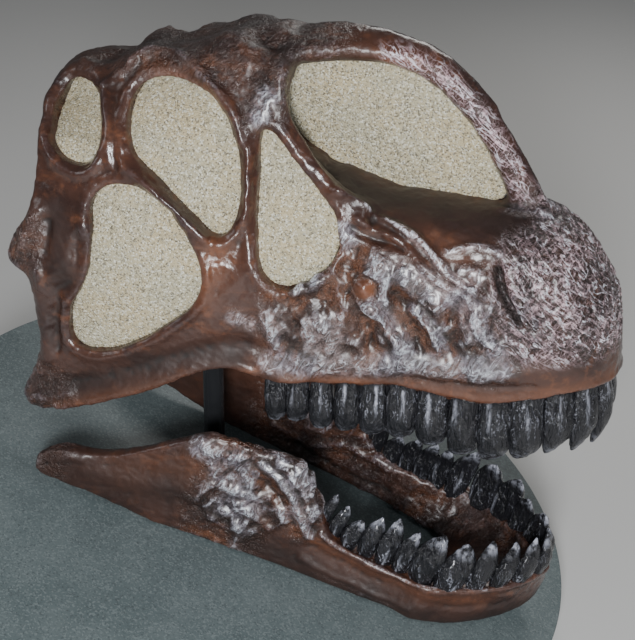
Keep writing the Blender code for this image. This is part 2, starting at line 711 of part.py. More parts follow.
def jaw_stations():
    """Stations of one side from its back to the chin.

    Each has the outer face, the inner face above and below, the top and the bottom.
    """
    places = []
    for i, (x, top, bottom) in enumerate(JAW):
        thick = JAW_THICK * (0.62 if i == 0 else 1)
        outer = Vector((x, jaw_half(x), 0))
        inner = outer - Vector((0, thick, 0))
        places.append((outer, inner, inner, top, bottom))
    for i in range(1, FRONT_STEPS + 1):
        a = math.pi / 2 * (1 - i / FRONT_STEPS)
        reach, spread = math.cos(a) ** (2 / JAW_ROUND), math.sin(a) ** (2 / JAW_ROUND)
        x = JAW_TURN_X + (JAW_FRONT_X - JAW_TURN_X) * reach
        outer = Vector((x, JAW_HALF_TURN * spread, 0))
        above = Vector((x - CHIN_THICK * reach, (JAW_HALF_TURN - JAW_THICK) * spread, 0))
        below = Vector((SHELF_X + (SHELF_FRONT_X - SHELF_X) * math.cos(a), SHELF_HALF * math.sin(a), 0))
        bottom = JAW[-1][2] + (CHIN_BOTTOM - JAW[-1][2]) * (i / FRONT_STEPS) ** 1.5
        places.append((outer, above, below, jaw_top(x), bottom))
    return places


def jaw_body():
    """Both branches of the lower jaw and the chin as one bar bent round the chin."""
    mirror = Vector((1, -1, 1))
    places = jaw_stations()
    places += [(*(point * mirror for point in place[:3]), *place[3:]) for place in reversed(places[:-1])]
    rings = []
    for outer, above, below, top, bottom in places:
        ring = [(outer.lerp(above, deep), up) for deep, up in JAW_OUTER]
        ring += [(outer.lerp(below, deep), up) for deep, up in JAW_BASE]
        ring += [(below.lerp(above, 0.55), 0.50), (above, 0.86), (outer.lerp(above, 0.75), 1.0)]
        rings.append([point + Vector((0, 0, bottom + (top - bottom) * up)) for point, up in ring])
    return skin(rings, "jaw")


def jaw_bones():
    jaw = jaw_body()
    frame = bpy.data.objects["slope_frame"]
    whole = right_half(jaw, "jaw_half")
    for bone, region in JAW_REGIONS.items():
        node = copy(whole, f"{bone}_right")
        cut(node, side_prism(offset_loop(region, -HALF_GAP), -0.4, 0.4), "INTERSECT")
        keep_largest(node)
        if bone == "dentary":
            plant_teeth(node, lower_teeth())
        pair(node, "bone", frame)
    remove(whole)
    remove(jaw)


# ---- Stand ----------------------------------------------------------------
def slope_height(x):
    """Height of the plinth top in the skull frame."""
    return SLOPE_Z - math.tan(SLOPE) * x


def level(z):
    """A ring height that is the same all round."""
    return lambda x: z


def above_slope(rise):
    """A ring height that follows the plinth top."""
    return lambda x: slope_height(x) + rise / math.cos(SLOPE)


def drum(name, radius, centre_x, low, high, sides):
    """A round upright body between two ring heights."""
    rings = []
    for height in (low, high):
        ring = []
        for k in range(sides):
            a = 2 * math.pi * k / sides
            x = centre_x + radius * math.cos(a)
            ring.append((x, radius * math.sin(a), height(x)))
        rings.append(ring)
    return skin(rings, name)


def chamfer(made, width):
    edge = made.modifiers.new("edge", "BEVEL")
    edge.width = width
    edge.segments = 1
    edge.limit_method = "ANGLE"
    bake(made)


def plinth():
    """Round top board that slopes, on a round drum cut to the same slope."""
    board = drum("plinth_top", DISC_RADIUS, DISC_X, level(-DISC_THICK), level(0), 48)
    chamfer(board, BOARD_EDGE)
    dress(board, "laminate", bpy.data.objects["slope_frame"])
    centre = DISC_X * math.cos(SLOPE)
    under = above_slope(-DISC_THICK - GAP)
    dress(drum("plinth_drum", DRUM_RADIUS, centre, level(FLOOR_Z), under, 48), "drum_paint")


def post():
    """Upright rod, the collar round its foot and the saddle that carries the skull."""
    under_saddle = POST_TOP - SADDLE_THICK
    dress(drum("post", POST_RADIUS, POST_X, above_slope(GAP), level(under_saddle), 16), "black_paint")
    collar = drum("post_collar", COLLAR_RADIUS, POST_X, above_slope(GAP), above_slope(COLLAR_THICK), 16)
    cut(collar, drum("hole", POST_RADIUS + GAP, POST_X, level(-0.3), level(0), 16))
    dress(collar, "black_paint")
    rear, front = POST_X - SADDLE_HALF_LENGTH, POST_X + SADDLE_HALF_LENGTH
    low, high = under_saddle + GAP, POST_TOP
    saddle = box((rear, -SADDLE_HALF_WIDTH, low), (front, SADDLE_HALF_WIDTH, high), "saddle")
    chamfer(saddle, SADDLE_EDGE)
    dress(saddle, "black_paint")


# ---- Assembly -------------------------------------------------------------
def dress(made, finish, parent=None):
    """Give a finished piece its material and hang it on its frame."""
    made.data.materials.clear()
    made.data.materials.append(material(finish))
    made.data.shade_smooth()
    made.data.set_sharp_from_angle(angle=math.radians(40))
    made.parent = parent or bpy.data.objects["skull_frame"]
    return made


def frames():
    """Empties that carry the skull and the sloping plinth top."""
    skull = bpy.data.objects.new("skull_frame", None)
    skull.location = (-MIDDLE_X, 0, -FLOOR_Z)
    slope = bpy.data.objects.new("slope_frame", None)
    slope.location = (0, 0, SLOPE_Z)
    slope.rotation_euler = (0, SLOPE, 0)
    slope.parent = skull
    for frame in (skull, slope):
        bpy.context.collection.objects.link(frame)


def build():
    for old in list(bpy.data.objects):
        bpy.data.objects.remove(old, do_unlink=True)
    frames()
    skull_bones(cranium_shell())
    braincase()
    sand_panels()
    jaw_bones()
    plinth()
    post()


build()
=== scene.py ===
"""Long-necked dinosaur skull, a life-size cast on its museum stand, in its finished look.

The skull frame has its origin on the midline, level with the upper tooth line:
+X runs forward to the snout, +Y to the skull's left and +Z up. The lower jaw
lies on the sloping top of the plinth and is modelled in that slope's own frame.
Sizes are in metres, but tables inside mm() and places() are in millimetres.
"""
import math
import random

import bmesh
import bpy
import numpy as np
from mathutils import Matrix, Vector


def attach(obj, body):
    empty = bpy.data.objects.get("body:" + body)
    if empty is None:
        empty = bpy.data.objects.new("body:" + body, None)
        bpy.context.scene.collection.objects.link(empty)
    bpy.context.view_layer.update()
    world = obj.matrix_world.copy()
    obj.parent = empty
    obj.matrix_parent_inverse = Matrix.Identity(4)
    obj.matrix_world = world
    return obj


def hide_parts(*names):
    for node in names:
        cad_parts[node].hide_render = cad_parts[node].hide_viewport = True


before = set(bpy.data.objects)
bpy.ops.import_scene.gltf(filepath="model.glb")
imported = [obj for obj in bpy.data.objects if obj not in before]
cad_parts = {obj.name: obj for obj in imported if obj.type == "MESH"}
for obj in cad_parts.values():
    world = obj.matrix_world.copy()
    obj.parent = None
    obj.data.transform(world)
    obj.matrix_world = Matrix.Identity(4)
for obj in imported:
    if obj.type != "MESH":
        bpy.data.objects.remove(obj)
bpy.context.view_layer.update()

bl_info = {
    "name": "Dinosaur skull cast",
    "version": (1, 0, 0),
    "blender": (4, 5, 0),
    "location": "3D View > Sidebar > Skull cast",
    "description": "Builds a long-necked dinosaur's skull cast with its stand",
    "category": "Add Mesh",
}

# ---- Sizes ----------------------------------------------------------------
def mm(sizes):
    """Millimetres as metres: one size, or a table of them."""
    if isinstance(sizes, dict):
        return {key: mm(part) for key, part in sizes.items()}
    if isinstance(sizes, (list, tuple)):
        return type(sizes)(mm(part) for part in sizes)
    return round(sizes / 1000, 7)


def places(rows):
    """Painted places: a path and its width in millimetres, and how much paint they get."""
    return [(mm(path), mm(width), amount) for path, width, amount in rows]


SLOPE = math.radians(14.54)  # slope of the plinth top, down towards the snout
SLOPE_Z = -0.2377            # height of that slope under the skull's origin
SKULL_PLACE = Matrix.Translation((0.0603, 0, 0.355))
SLOPE_PLACE = SKULL_PLACE @ Matrix.Translation((0, 0, SLOPE_Z)) @ Matrix.Rotation(SLOPE, 4, "Y")
SNOUT_X = 0.289
FLOOR_Z = -0.355
WALL, ROOF = 0.020, 0.018
PANEL_OUT, PANEL_IN, PANEL_GROW = 0.009, 0.015, 0.001
DISC_X, DISC_RADIUS, DISC_THICK = -0.074, 0.345, 0.018
DRUM_RADIUS = 0.318
POST_X, POST_RADIUS, POST_TOP = -0.108, 0.0105, 0.040
SADDLE_THICK = 0.006
COLLAR_RADIUS, COLLAR_THICK = 0.022, 0.005
GAP = 0.0003  # between pieces of the stand that rest on each other
SADDLE_HALF_LENGTH, SADDLE_HALF_WIDTH = 0.028, 0.019

# Cranium behind the snout, station by station along X:
# x, crown height, half-width at the crown, at the waist and at the cheek.
VAULT = mm([
    (-300, 225, 30, 85, 110), (-235, 238, 34, 93, 118), (-200, 250, 38, 98, 122),
    (-170, 262, 40, 100, 124), (-130, 268, 42, 98, 123), (-90, 280, 42, 92, 118),
    (-50, 290, 38, 83, 110), (0, 292, 34, 74, 101), (50, 288, 30, 67, 91), (110, 280, 22, 58, 82),
])
INNER_SPAN = (-0.320, 0.130)
WAIST_Z, CHEEK_Z = 0.175, 0.085
VAULT_FLOOR_Z = -0.130
CASE_FRONT_X = -0.056
SIDE_REACH = 0.2  # a cutter's end, past any side of the skull

# Side outlines (x, z), run through by smooth closed curves.
VAULT_SIDE = mm([
    (-150, 320), (-205, 285), (-232, 255), (-243, 225), (-241, 190), (-240, 158), (-245, 122),
    (-261, 97), (-266, 74), (-246, 60), (-240, 28), (-237, -6), (-246, -34), (-261, -64),
    (-256, -84), (-222, -80), (-190, -65), (-146, -44), (-112, -27), (-80, -10), (-52, -4),
    (-28, -12), (10, -15), (46, 20), (64, 100), (64, 148), (50, 162), (34, 171), (15, 186),
    (0, 201), (-11, 217), (-18, 240), (-18, 285), (-45, 325),
])
OPENINGS = mm({
    "supratemporal": [
        (-234, 206), (-228, 226), (-208, 232), (-190, 224), (-180, 205), (-178, 186), (-190, 173),
        (-212, 174), (-228, 188),
    ],
    "orbit": [
        (-157, 216), (-150, 238), (-127, 248), (-95, 246), (-68, 228), (-52, 196), (-48, 155),
        (-54, 130), (-68, 125), (-90, 142), (-121, 168), (-147, 188),
    ],
    "infratemporal": [
        (-180, 142), (-166, 159), (-138, 161), (-110, 146), (-85, 116), (-75, 85), (-84, 58),
        (-115, 30), (-150, 6), (-185, -4), (-203, 6), (-201, 38), (-184, 74), (-180, 110),
    ],
    "antorbital": [
        (-35, 214), (-22, 213), (-4, 194), (18, 170), (38, 144), (37, 112), (20, 91), (-6, 83),
        (-24, 96), (-31, 130), (-34, 175),
    ],
})
OPENING_REACH = mm({
    "supratemporal": 20,
    "orbit": 20,
    "infratemporal": 20,
    "antorbital": 44,
})
NARIS_PANEL = mm([
    (-34, 236), (-20, 256), (10, 268), (45, 271), (78, 265), (110, 246), (136, 216), (156, 182),
    (166, 158), (125, 154), (85, 153), (55, 160), (24, 168), (0, 180), (-18, 193), (-30, 212),
])
NARIS_PANEL_HALF = 0.003
NARIS_PANEL_HIDDEN = 0.0042  # how far its edge runs on inside the bone
# Floor of the nostrils, rising behind into their rear wall: x, z, half-width.
NARIS_FLOOR = mm([
    (95, 143, 54), (55, 153, 60), (22, 161, 64), (-4, 173, 64), (-24, 186, 62), (-36, 204, 58),
    (-41, 228, 52), (-42, 262, 40),
])
NARIS_FLOOR_HALF = 0.007
# Bar of bone over the nostrils, front to back: x, z, half-width, half-height.
ARCH = mm([
    (204, 126, 20, 20), (190, 156, 16, 16), (176, 183, 14, 14), (156, 215, 14, 13),
    (130, 244, 15, 12), (100, 267, 18, 12), (66, 278, 21, 12), (30, 281, 27, 13), (0, 278, 36, 14),
    (-30, 274, 44, 14), (-60, 268, 44, 13),
])
SNOUT_REAR_X, SNOUT_TURN_X = -0.012, 0.165
SNOUT_HALF_REAR, SNOUT_HALF_TURN = 0.102, 0.078
SNOUT_ROUND = 2.3
SNOUT_SQUARE = (3.4, 2.2)
SNOUT_TOP = mm([
    (-12, 100), (20, 140), (50, 156), (80, 155), (130, 154), (190, 152), (220, 144), (246, 126),
    (266, 102), (279, 76), (289, 28),
])
TOOTH_LINE = mm([(-12, -15), (60, -14), (100, -9), (170, -16), (215, -9), (250, -1), (289, 2)])
# How far the lip hangs under that line: x, distance.
LIP_DROP = mm([(-12, 8), (30, 14), (100, 12), (150, 13), (190, 11), (220, 7), (250, 4), (289, 2)])
PALATE_FLOOR_Z = -0.060
PALATE_RISE = 0.048
PALATE_SQUARE = 2.4
JAW_WALL = 0.026
# Voxel and rounds of softening of each melted skin.
CRANIUM_MELT, CASE_MELT, CASE_LAST_MELT = (0.0022, 24), (0.0024, 10), (0.0022, 2)
JAW_MELT, PANEL_MELT = (0.0016, 6), (0.0018, 1)

# Lower jaw in the slope's frame: x, top, bottom.
JAW = mm([
    (-265, 40, 22), (-256, 48, 14), (-236, 56, 13), (-212, 61, 12), (-186, 72, 8), (-160, 90, 4),
    (-134, 109, 1), (-108, 126, 1), (-80, 130, 1), (-50, 127, 1), (-26, 128, 1), (-6, 113, 1),
    (12, 86, 1), (30, 60, 1), (58, 50, 1), (95, 48, 1), (130, 49, 1),
])
JAW_PLAN = mm([(-265, 121), (61, 88), (108, 87), (130, 90)])
JAW_TURN_X, JAW_HALF_TURN = JAW_PLAN[-1]
JAW_FRONT_X = 0.238
JAW_ROUND = 1.5
JAW_THICK = 0.018
CHIN_TOP, CHIN_BOTTOM = 0.064, 0.013
CHIN_THICK = 0.024
SHELF_START_X, SHELF_X, SHELF_FRONT_X, SHELF_HALF = 0.040, 0.112, 0.142, 0.056
FRONT_STEPS = 14
JAW_SOLE = 0.0035  # below this nothing stands out, so that the jaw lies flat
# Section of the jaw: share of the way to its inner face, share of the height.
JAW_OUTER = [(0.10, 1.0), (0.0, 0.84), (0.0, 0.30)]
JAW_BASE = [(0.12, 0.06), (0.40, 0.0), (0.85, 0.04), (1.0, 0.16)]

# Teeth of one side, counted from the midline: relative widths, and lengths.
UPPER_WIDTHS = (22, 22, 23, 25, 25, 25, 25, 24, 22, 21, 20, 19, 17)
LOWER_WIDTHS = (23, 25, 24, 25, 30, 26, 18, 19, 18, 19, 14, 12)
LOWER_LENGTHS = mm((47, 50, 51, 56, 60, 60, 57, 55, 48, 38, 44, 34))
UPPER_LENGTH, UPPER_SHORTER = 0.067, 0.021  # the front tooth, and how much the last one lacks
UPPER_INSET, UPPER_BACK_X, UPPER_SUNK = 0.013, -0.022, 0.002
LOWER_INSET, LOWER_FRONT_INSET, LOWER_BACK_X, LOWER_SUNK = 0.0115, 0.012, 0.012, 0.004
TOOTH_ROOT = 0.009

BONES = ("premaxilla", "maxilla", "nasal", "lacrimal", "jugal", "quadratojugal", "squamosal",
         "postorbital", "frontal", "parietal")
JAW_BONES = ("dentary", "surangular", "angular")
SIDES = {"right": -1, "left": 1}  # the sign of y on each side

# Braincase: balls with their middle and radii, then bars with their points, half-widths and
# half-heights, and the bars of one side, given on the left.
CASE_BALLS = mm([
    ((-150, 0, 195), (62, 46, 75)), ((-190, 0, 222), (22, 88, 52)), ((-238, 0, 150), (20, 22, 19)),
])
CASE_BARS = mm([
    ([(-170, 0, 170), (-236, 0, 151)], [26, 17], [26, 15]),
    ([(-130, 0, 150), (-112, 0, 62)], [30, 20], [34, 26]),
    ([(-130, 0, 85), (-40, 0, 60)], [12, 10], [20, 16]),
])
CASE_SIDE_BARS = mm([
    ([(-190, 30, 196), (-216, 70, 158), (-236, 97, 100)], [14, 11, 9], [30, 26, 18]),
    ([(-196, 90, 190), (-214, 90, 120), (-224, 90, 30), (-236, 92, -62)],
     [11, 11, 13, 16], [22, 20, 17, 21]),
    ([(-108, 12, 72), (-160, 48, 62), (-216, 84, 46)], [8, 8, 8], [16, 26, 24]),
    ([(-108, 18, 70), (-75, 52, 40), (-40, 70, 22)], [9, 9, 12], [16, 13, 14]),
])
SPINE_HOLE = mm(([(-300, 0, 205), (-150, 0, 188)], [17, 15], [19, 15]))
ROD_SLOT = ((-0.14, -0.02, -0.2), (-0.07, 0.02, POST_TOP))  # room for the rod and its plate
CASE_LET_IN = 0.001  # how far the braincase reaches into the bone round it

# Carving of the cranium, given on one side: path (x, half-width, z), width, height.
RIDGES = mm([
    # crest that parts the nostril's shelf from the cheek, and the fold under it
    ([(34, 70, 170), (47, 66, 163), (60, 64, 157), (78, 65, 151), (94, 67, 146), (109, 70, 139),
     (119, 73, 131), (128, 75, 122), (136, 77, 112), (148, 78, 105), (161, 78, 100), (173, 77, 93)],
     2.8, 5.2),
    ([(55, 74, 148), (80, 74, 141), (94, 75, 134), (107, 77, 127), (117, 78, 117), (129, 80, 108),
     (142, 80, 100)], 2.6, 3.8),
    ([(78, 78, 126), (95, 79, 124), (113, 79, 118), (129, 79, 109)], 4, 2.5),
    ([(48, 80, 140), (80, 78, 133), (98, 78, 131)], 4, -3.5),
    # swellings over the tooth roots
    ([(-16, 103, 53), (-8, 101, 25)], 5, 3.5),
    ([(32, 94, 55), (40, 92, 28)], 5, 3.5),
    ([(52, 91, 77), (58, 89, 50)], 4.5, 2.5),
    ([(74, 87, 74), (92, 85, 51), (103, 83, 37)], 5.5, 7.5),
    ([(112, 83, 74), (124, 82, 62), (136, 80, 38)], 4.5, 7),
    ([(128, 81, 88), (138, 81, 68)], 5, 4),
    ([(152, 79, 73), (163, 78, 48)], 5, 3),
    ([(160, 77, 92), (170, 78, 66), (184, 77, 46)], 6.5, 6),
    ([(80, 85, 106), (104, 83, 100), (128, 80, 94)], 11, 3.5),
    ([(62, 89, 40), (70, 88, 26)], 5, 3),
    # rounded boss on the cheek
    ([(69, 87, 90)], 10, 7.5),
    ([(81, 86, 84), (78, 86, 98), (62, 88, 102)], 3.5, -3),
    # hollows between the swellings
    ([(55, 90, 110), (62, 88, 122)], 7, -4),
    ([(98, 85, 86), (106, 84, 78)], 6, -4),
    ([(148, 79, 88), (146, 79, 68)], 5, -3.5),
    ([(112, 83, 46), (118, 82, 34)], 4.5, -3),
    # swollen band over the teeth and the lip under it
    ([(13, 97, 10), (40, 91, 10), (84, 83, 14), (129, 80, 19), (174, 77, 20), (209, 73, 24),
     (242, 63, 31)], 10, 3),
    ([(-4, 101, -11), (40, 90, -11), (90, 82, -6), (144, 78, -10), (175, 76, -12), (198, 73, -9),
     (221, 67, -4), (244, 59, 3), (268, 42, 5), (282, 20, 6), (286, 0, 6)], 4.5, 2.5),
    ([(100, 82, 4), (144, 79, 3), (190, 75, 5), (221, 68, 10)], 3.5, -2),
    # slit between the bones of the snout, with a raised line in front of it
    ([(180, 67, 120), (186, 72, 106), (192, 75, 93), (199, 75, 83), (206, 75, 72)], 3.4, -8),
    ([(201, 69, 112), (208, 71, 98), (214, 72, 84), (218, 72, 70)], 1.8, 3),
    ([(174, 70, 112), (181, 75, 92), (190, 76, 78)], 3, 2),
    ([(210, 74, 40), (214, 73, 47), (219, 72, 53), (228, 70, 51)], 2, 2.5),
    ([(232, 68, 58)], 4.5, 4.5),
    ([(219, 72, 60)], 4, 3.5),
    ([(268, 42, 78), (272, 41, 55)], 4.5, 4),
    ([(250, 58, 90), (256, 55, 66)], 5, 2.5),
    ([(135, 69, 128), (150, 64, 132), (162, 61, 133), (180, 61, 129)], 3.5, 2.5),
    ([(172, 20, 152), (186, 20, 152), (200, 16, 150), (212, 10, 146)], 4, 3),
    # bars between the openings
    ([(-23, 47, 267), (-23, 53, 254), (-20, 56, 241), (-16, 56, 226), (-6, 58, 209), (5, 62, 195),
     (22, 66, 180), (38, 70, 168)], 4.5, 4),
    ([(-45, 74, 220), (-42, 79, 191), (-41, 85, 166), (-41, 91, 140)], 4, 3),
    ([(-150, 98, 176), (-136, 100, 170), (-122, 100, 163), (-103, 101, 149), (-88, 102, 137),
     (-74, 103, 124)], 4.5, 4.5),
    ([(-183, 56, 231), (-175, 72, 217), (-167, 87, 196), (-164, 98, 176)], 3.5, 3),
    ([(-183, 54, 233), (-199, 41, 243), (-218, 28, 244)], 5, 3.5),
    ([(-183, 54, 233), (-174, 50, 243), (-163, 44, 253)], 4.5, 3),
    # brow over the eye
    ([(-163, 44, 253), (-154, 38, 260), (-142, 35, 264), (-127, 38, 266), (-107, 48, 263),
     (-90, 56, 256), (-77, 61, 248), (-65, 67, 236), (-55, 71, 222), (-50, 75, 207)], 5, 5),
    ([(-150, 36, 264)], 10, 3.5),
    # roof: low humps in front, a dip behind the brows
    ([(-75, 30, 283), (-45, 28, 290)], 14, 3.5),
    ([(-110, 0, 274), (-140, 0, 267)], 16, -5),
    ([(-178, 0, 260), (-190, 22, 252)], 15, -8.5),
    ([(-22, 0, 294), (-20, 40, 280)], 8, -3),
    ([(-46, 30, 290), (-36, 34, 288)], 13, -12),
    ([(10, 0, 292), (64, 0, 289), (110, 0, 272), (150, 0, 236)], 12, 3.4),
    ([(-244, 52, 212)], 13, 4.5),
    ([(-215, 20, 246), (-225, 0, 243)], 10, 2),
    # lumpy patch in front of the eye
    ([(-33, 62, 243), (-36, 64, 228)], 10, 3.5),
    ([(-28, 70, 216)], 6, -3),
    # back of the skull and the jaw joint
    ([(-232, 106, 128), (-239, 110, 112), (-247, 114, 93)], 6.5, 4.5),
    ([(-222, 112, 118), (-224, 116, 92)], 5, -3.5),
    ([(-231, 116, 71), (-229, 118, 40), (-229, 118, 8), (-231, 117, -20)], 7.5, 4),
    ([(-213, 120, 55), (-216, 120, 24), (-217, 119, -8)], 4.5, -3),
    ([(-188, 119, 108), (-190, 122, 75), (-205, 121, 60)], 8, -5),
    ([(-203, 118, -44), (-144, 121, -18), (-95, 117, 6), (-50, 110, 22), (-21, 104, 18)],
     8.5, -3.5),
    ([(-222, 115, -74), (-173, 118, -54), (-120, 117, -29), (-72, 112, -5), (-32, 105, -6)],
     5, 2.5),
    ([(-252, 112, -70), (-233, 114, -66), (-210, 118, -58)], 7, 3.5),
])
# Carving of one side only, with the sign of y: the roof sinks behind the eyes on the left.
LEFT_RIDGES = mm([
    ([(-226, 22, 242), (-208, 36, 246), (-194, 42, 245)], 13, -8.5),
    ([(-152, 40, 267), (-140, 38, 268)], 11, -9.5),
    ([(-166, 38, 259)], 9, 3),
])
# Raised rims round the openings: distance from the edge, width, height.
RIMS = mm({
    "supratemporal": (6, 5.5, 4),
    "orbit": (6.5, 5, 3),
    "infratemporal": (6, 4.5, 2.2),
    "antorbital": (6, 4.5, 1.8),
})
JAW_RIDGES = mm([
    ([(-244, 119, 48), (-222, 116, 54)], 5, 2.5),
    ([(-215, 116, 40), (-150, 108, 52), (-100, 104, 62)], 12, 2),
    # coronoid rise with its crack and the ridges that run down from it
    ([(-113, 104, 118), (-100, 104, 113), (-90, 103, 112), (-78, 101, 116)], 6, 3.5),
    ([(-92, 103, 80), (-83, 103, 95), (-76, 102, 106), (-66, 101, 118)], 2, -3),
    ([(-53, 99, 117), (-32, 97, 106), (-17, 96, 93), (-5, 95, 78), (10, 93, 56)], 4.2, 4.5),
    ([(-30, 96, 122), (-14, 95, 109), (-3, 94, 94), (10, 93, 74)], 2.8, 3),
    ([(-58, 100, 102), (-38, 98, 91), (-22, 96, 78), (-7, 95, 62)], 5, -4),
    ([(-86, 103, 37), (-73, 101, 31), (-59, 99, 29)], 5, 3.5),
    ([(-84, 103, 80), (-71, 101, 80), (-58, 100, 79)], 7, 4),
    ([(-64, 100, 66), (-48, 99, 57), (-30, 97, 46)], 5.5, 4),
    ([(-75, 102, 56), (-58, 100, 46)], 4.5, -3.5),
    # lip round the teeth and the long groove under it
    ([(20, 91, 62), (32, 90, 57), (44, 89, 53), (76, 87, 48), (103, 87, 47), (132, 89, 49),
     (165, 78, 53), (188, 64, 56), (210, 45, 60), (227, 24, 63), (237, 0, 64)], 3, 3),
    ([(10, 93, 24), (42, 90, 20), (73, 88, 18), (100, 88, 16), (126, 90, 18)], 4, 2),
    ([(15, 93, 42), (57, 88, 36), (100, 88, 32), (135, 89, 33), (175, 72, 35), (210, 44, 36)],
     6, -2),
    # inner face
    ([(-82, 84, 35), (-50, 81, 32), (-27, 79, 36), (-2, 77, 50), (28, 73, 50), (57, 74, 46),
     (85, 72, 50)], 5, 3.5),
    ([(-48, 81, 22), (-10, 77, 18), (26, 74, 17), (61, 70, 20)], 5, -3),
])


# ---- Small tools ----------------------------------------------------------
def rows_at(value, table, column):
    """Read a column of a station table at any place along its first column, smoothly."""
    rows = np.array(sorted(table))
    x, y = rows[:, 0], rows[:, column]
    step = np.diff(x)
    slope = np.diff(y) / step
    tangent = np.empty(len(x))
    tangent[0], tangent[-1] = slope[0], slope[-1]
    same = slope[:-1] * slope[1:] > 0
    mean = np.where(same, 2 * slope[:-1] * slope[1:] / np.where(same, slope[:-1] + slope[1:], 1), 0)
    tangent[1:-1] = mean
    value = np.clip(value, x[0], x[-1])
    i = np.clip(np.searchsorted(x, value, side="right") - 1, 0, len(x) - 2)
    t = (value - x[i]) / step[i]
    h = step[i]
    made = ((2 * t ** 3 - 3 * t ** 2 + 1) * y[i] + (t ** 3 - 2 * t ** 2 + t) * h * tangent[i]
            + (3 * t ** 2 - 2 * t ** 3) * y[i + 1] + (t ** 3 - t ** 2) * h * tangent[i + 1])
    return float(made)


def smooth_run(points, steps=4, closed=True):
    """A curve through the points, with more points between them."""
    pts = [np.array(p, float) for p in points]
    count = len(pts)
    spans = count if closed else count - 1
    run = []
    for i in range(spans):
        if closed:
            a, b, c, d = (pts[(i + k) % count] for k in (-1, 0, 1, 2))
        else:
            a, b, c, d = (pts[min(max(i + k, 0), count - 1)] for k in (-1, 0, 1, 2))
        for j in range(steps):
            t = j / steps
            run.append((2 * b + (c - a) * t + (2 * a - 5 * b + 4 * c - d) * t ** 2
                        + (3 * b - a - 3 * c + d) * t ** 3) / 2)
    if not closed:
        run.append(pts[-1])
    return np.array(run)


def offset_loop(loop, distance):
    """Move a closed outline outwards (or inwards, where distance is negative)."""
    pts = np.array(loop)
    ahead = np.roll(pts, -1, axis=0)
    turn = np.sum(pts[:, 0] * ahead[:, 1] - ahead[:, 0] * pts[:, 1])
    edge = ahead - pts
    edge /= np.linalg.norm(edge, axis=1)[:, None]
    normal = np.stack([edge[:, 1], -edge[:, 0]], 1) * math.copysign(1, turn)
    corner = normal + np.roll(normal, 1, axis=0)
    length = np.sum(corner * normal, axis=1)[:, None]
    return pts + corner / length * distance


def angles(count):
    """Even steps round a full turn."""
    return [2 * math.pi * k / count for k in range(count)]


def put(name, data):
    """An object of the scene that shows the data."""
    made = bpy.data.objects.new(name, data)
    bpy.context.scene.collection.objects.link(made)
    return made


def add_mesh(name, bm, outward=True):
    """Turn a bmesh into an object, its faces turned outward if wanted."""
    if outward:
        bmesh.ops.recalc_face_normals(bm, faces=bm.faces)
    mesh = bpy.data.meshes.new(name)
    bm.to_mesh(mesh)
    bm.free()
    return put(name, mesh)


def remove(made):
    bpy.data.objects.remove(made, do_unlink=True)


def bake(made):
    """Replace an object's mesh by what its modifiers make of it."""
    graph = bpy.context.evaluated_depsgraph_get()
    mesh = bpy.data.meshes.new_from_object(made.evaluated_get(graph))
    made.modifiers.clear()
    made.data = mesh


def cut(made, cutter, operation="DIFFERENCE", keep=False):
    """Join, trim or intersect one closed body with another."""
    step = made.modifiers.new("cut", "BOOLEAN")
    step.operation = operation
    step.object = cutter
    step.solver = "MANIFOLD"
    bake(made)
    if not keep:
        remove(cutter)
    return made


def melt(made, voxel, rounds):
    """Run overlapping bodies into one even skin and soften it."""
    skin_step = made.modifiers.new("melt", "REMESH")
    skin_step.mode = "VOXEL"
    skin_step.voxel_size = voxel
    if rounds:
        soften = made.modifiers.new("soften", "SMOOTH")
        soften.factor = 0.5
        soften.iterations = rounds
    bake(made)
    return made


def gather(bodies, name):
    """Put several bodies into one object."""
    bm = bmesh.new()
    for body in bodies:
        bm.from_mesh(body.data)
        remove(body)
    return add_mesh(name, bm, outward=False)


def close_up(bm, loops):
    """Faces from each loop of corners to the next, and one over each end."""
    for first, second in zip(loops, loops[1:]):
        for i in range(len(first)):
            j = (i + 1) % len(first)
            bm.faces.new((first[i], first[j], second[j], second[i]))
    bm.faces.new(loops[0])
    bm.faces.new(loops[-1])


def skin(rings, name="skin"):
    """A closed body through rings of points, flat at both ends."""
    bm = bmesh.new()
    close_up(bm, [[bm.verts.new(p) for p in ring] for ring in rings])
    return add_mesh(name, bm)


def side_prism(loop, y_low=-SIDE_REACH, y_high=SIDE_REACH, name="prism"):
    """Extrude an (x, z) outline along Y."""
    return skin([[(x, y, z) for x, z in loop] for y in (y_low, y_high)], name)


def block(low, high):
    """A rectangular cutter between two corners."""
    outline = [(low[0], low[2]), (high[0], low[2]), (high[0], high[2]), (low[0], high[2])]
    return side_prism(outline, low[1], high[1], "block")


def ball(centre, radii):
    bm = bmesh.new()
    bmesh.ops.create_icosphere(bm, subdivisions=4, radius=1)
    bmesh.ops.scale(bm, vec=radii, verts=bm.verts)
    bmesh.ops.translate(bm, vec=centre, verts=bm.verts)
    return add_mesh("ball", bm)


def tube(points, widths, heights, sides=32):
    """A bar through points, with its own half-width (Y) and half-height."""
    run = smooth_run([(*p, w, h) for p, w, h in zip(points, widths, heights)], 5, closed=False)
    pts = [Vector(row[:3]) for row in run]
    rings = []
    for i, p in enumerate(pts):
        ahead = pts[min(i + 1, len(pts) - 1)] - pts[max(i - 1, 0)]
        ahead.normalize()
        across = (Vector((0, 1, 0)) - ahead * ahead.y).normalized()
        rise = ahead.cross(across)
        rings.append([p + across * run[i][3] * math.cos(a) + rise * run[i][4] * math.sin(a)
                      for a in angles(sides)])
    return skin(rings, "tube")


# ---- Carving --------------------------------------------------------------
SNAP_STEP = 3  # every how many points a path looks for the surface


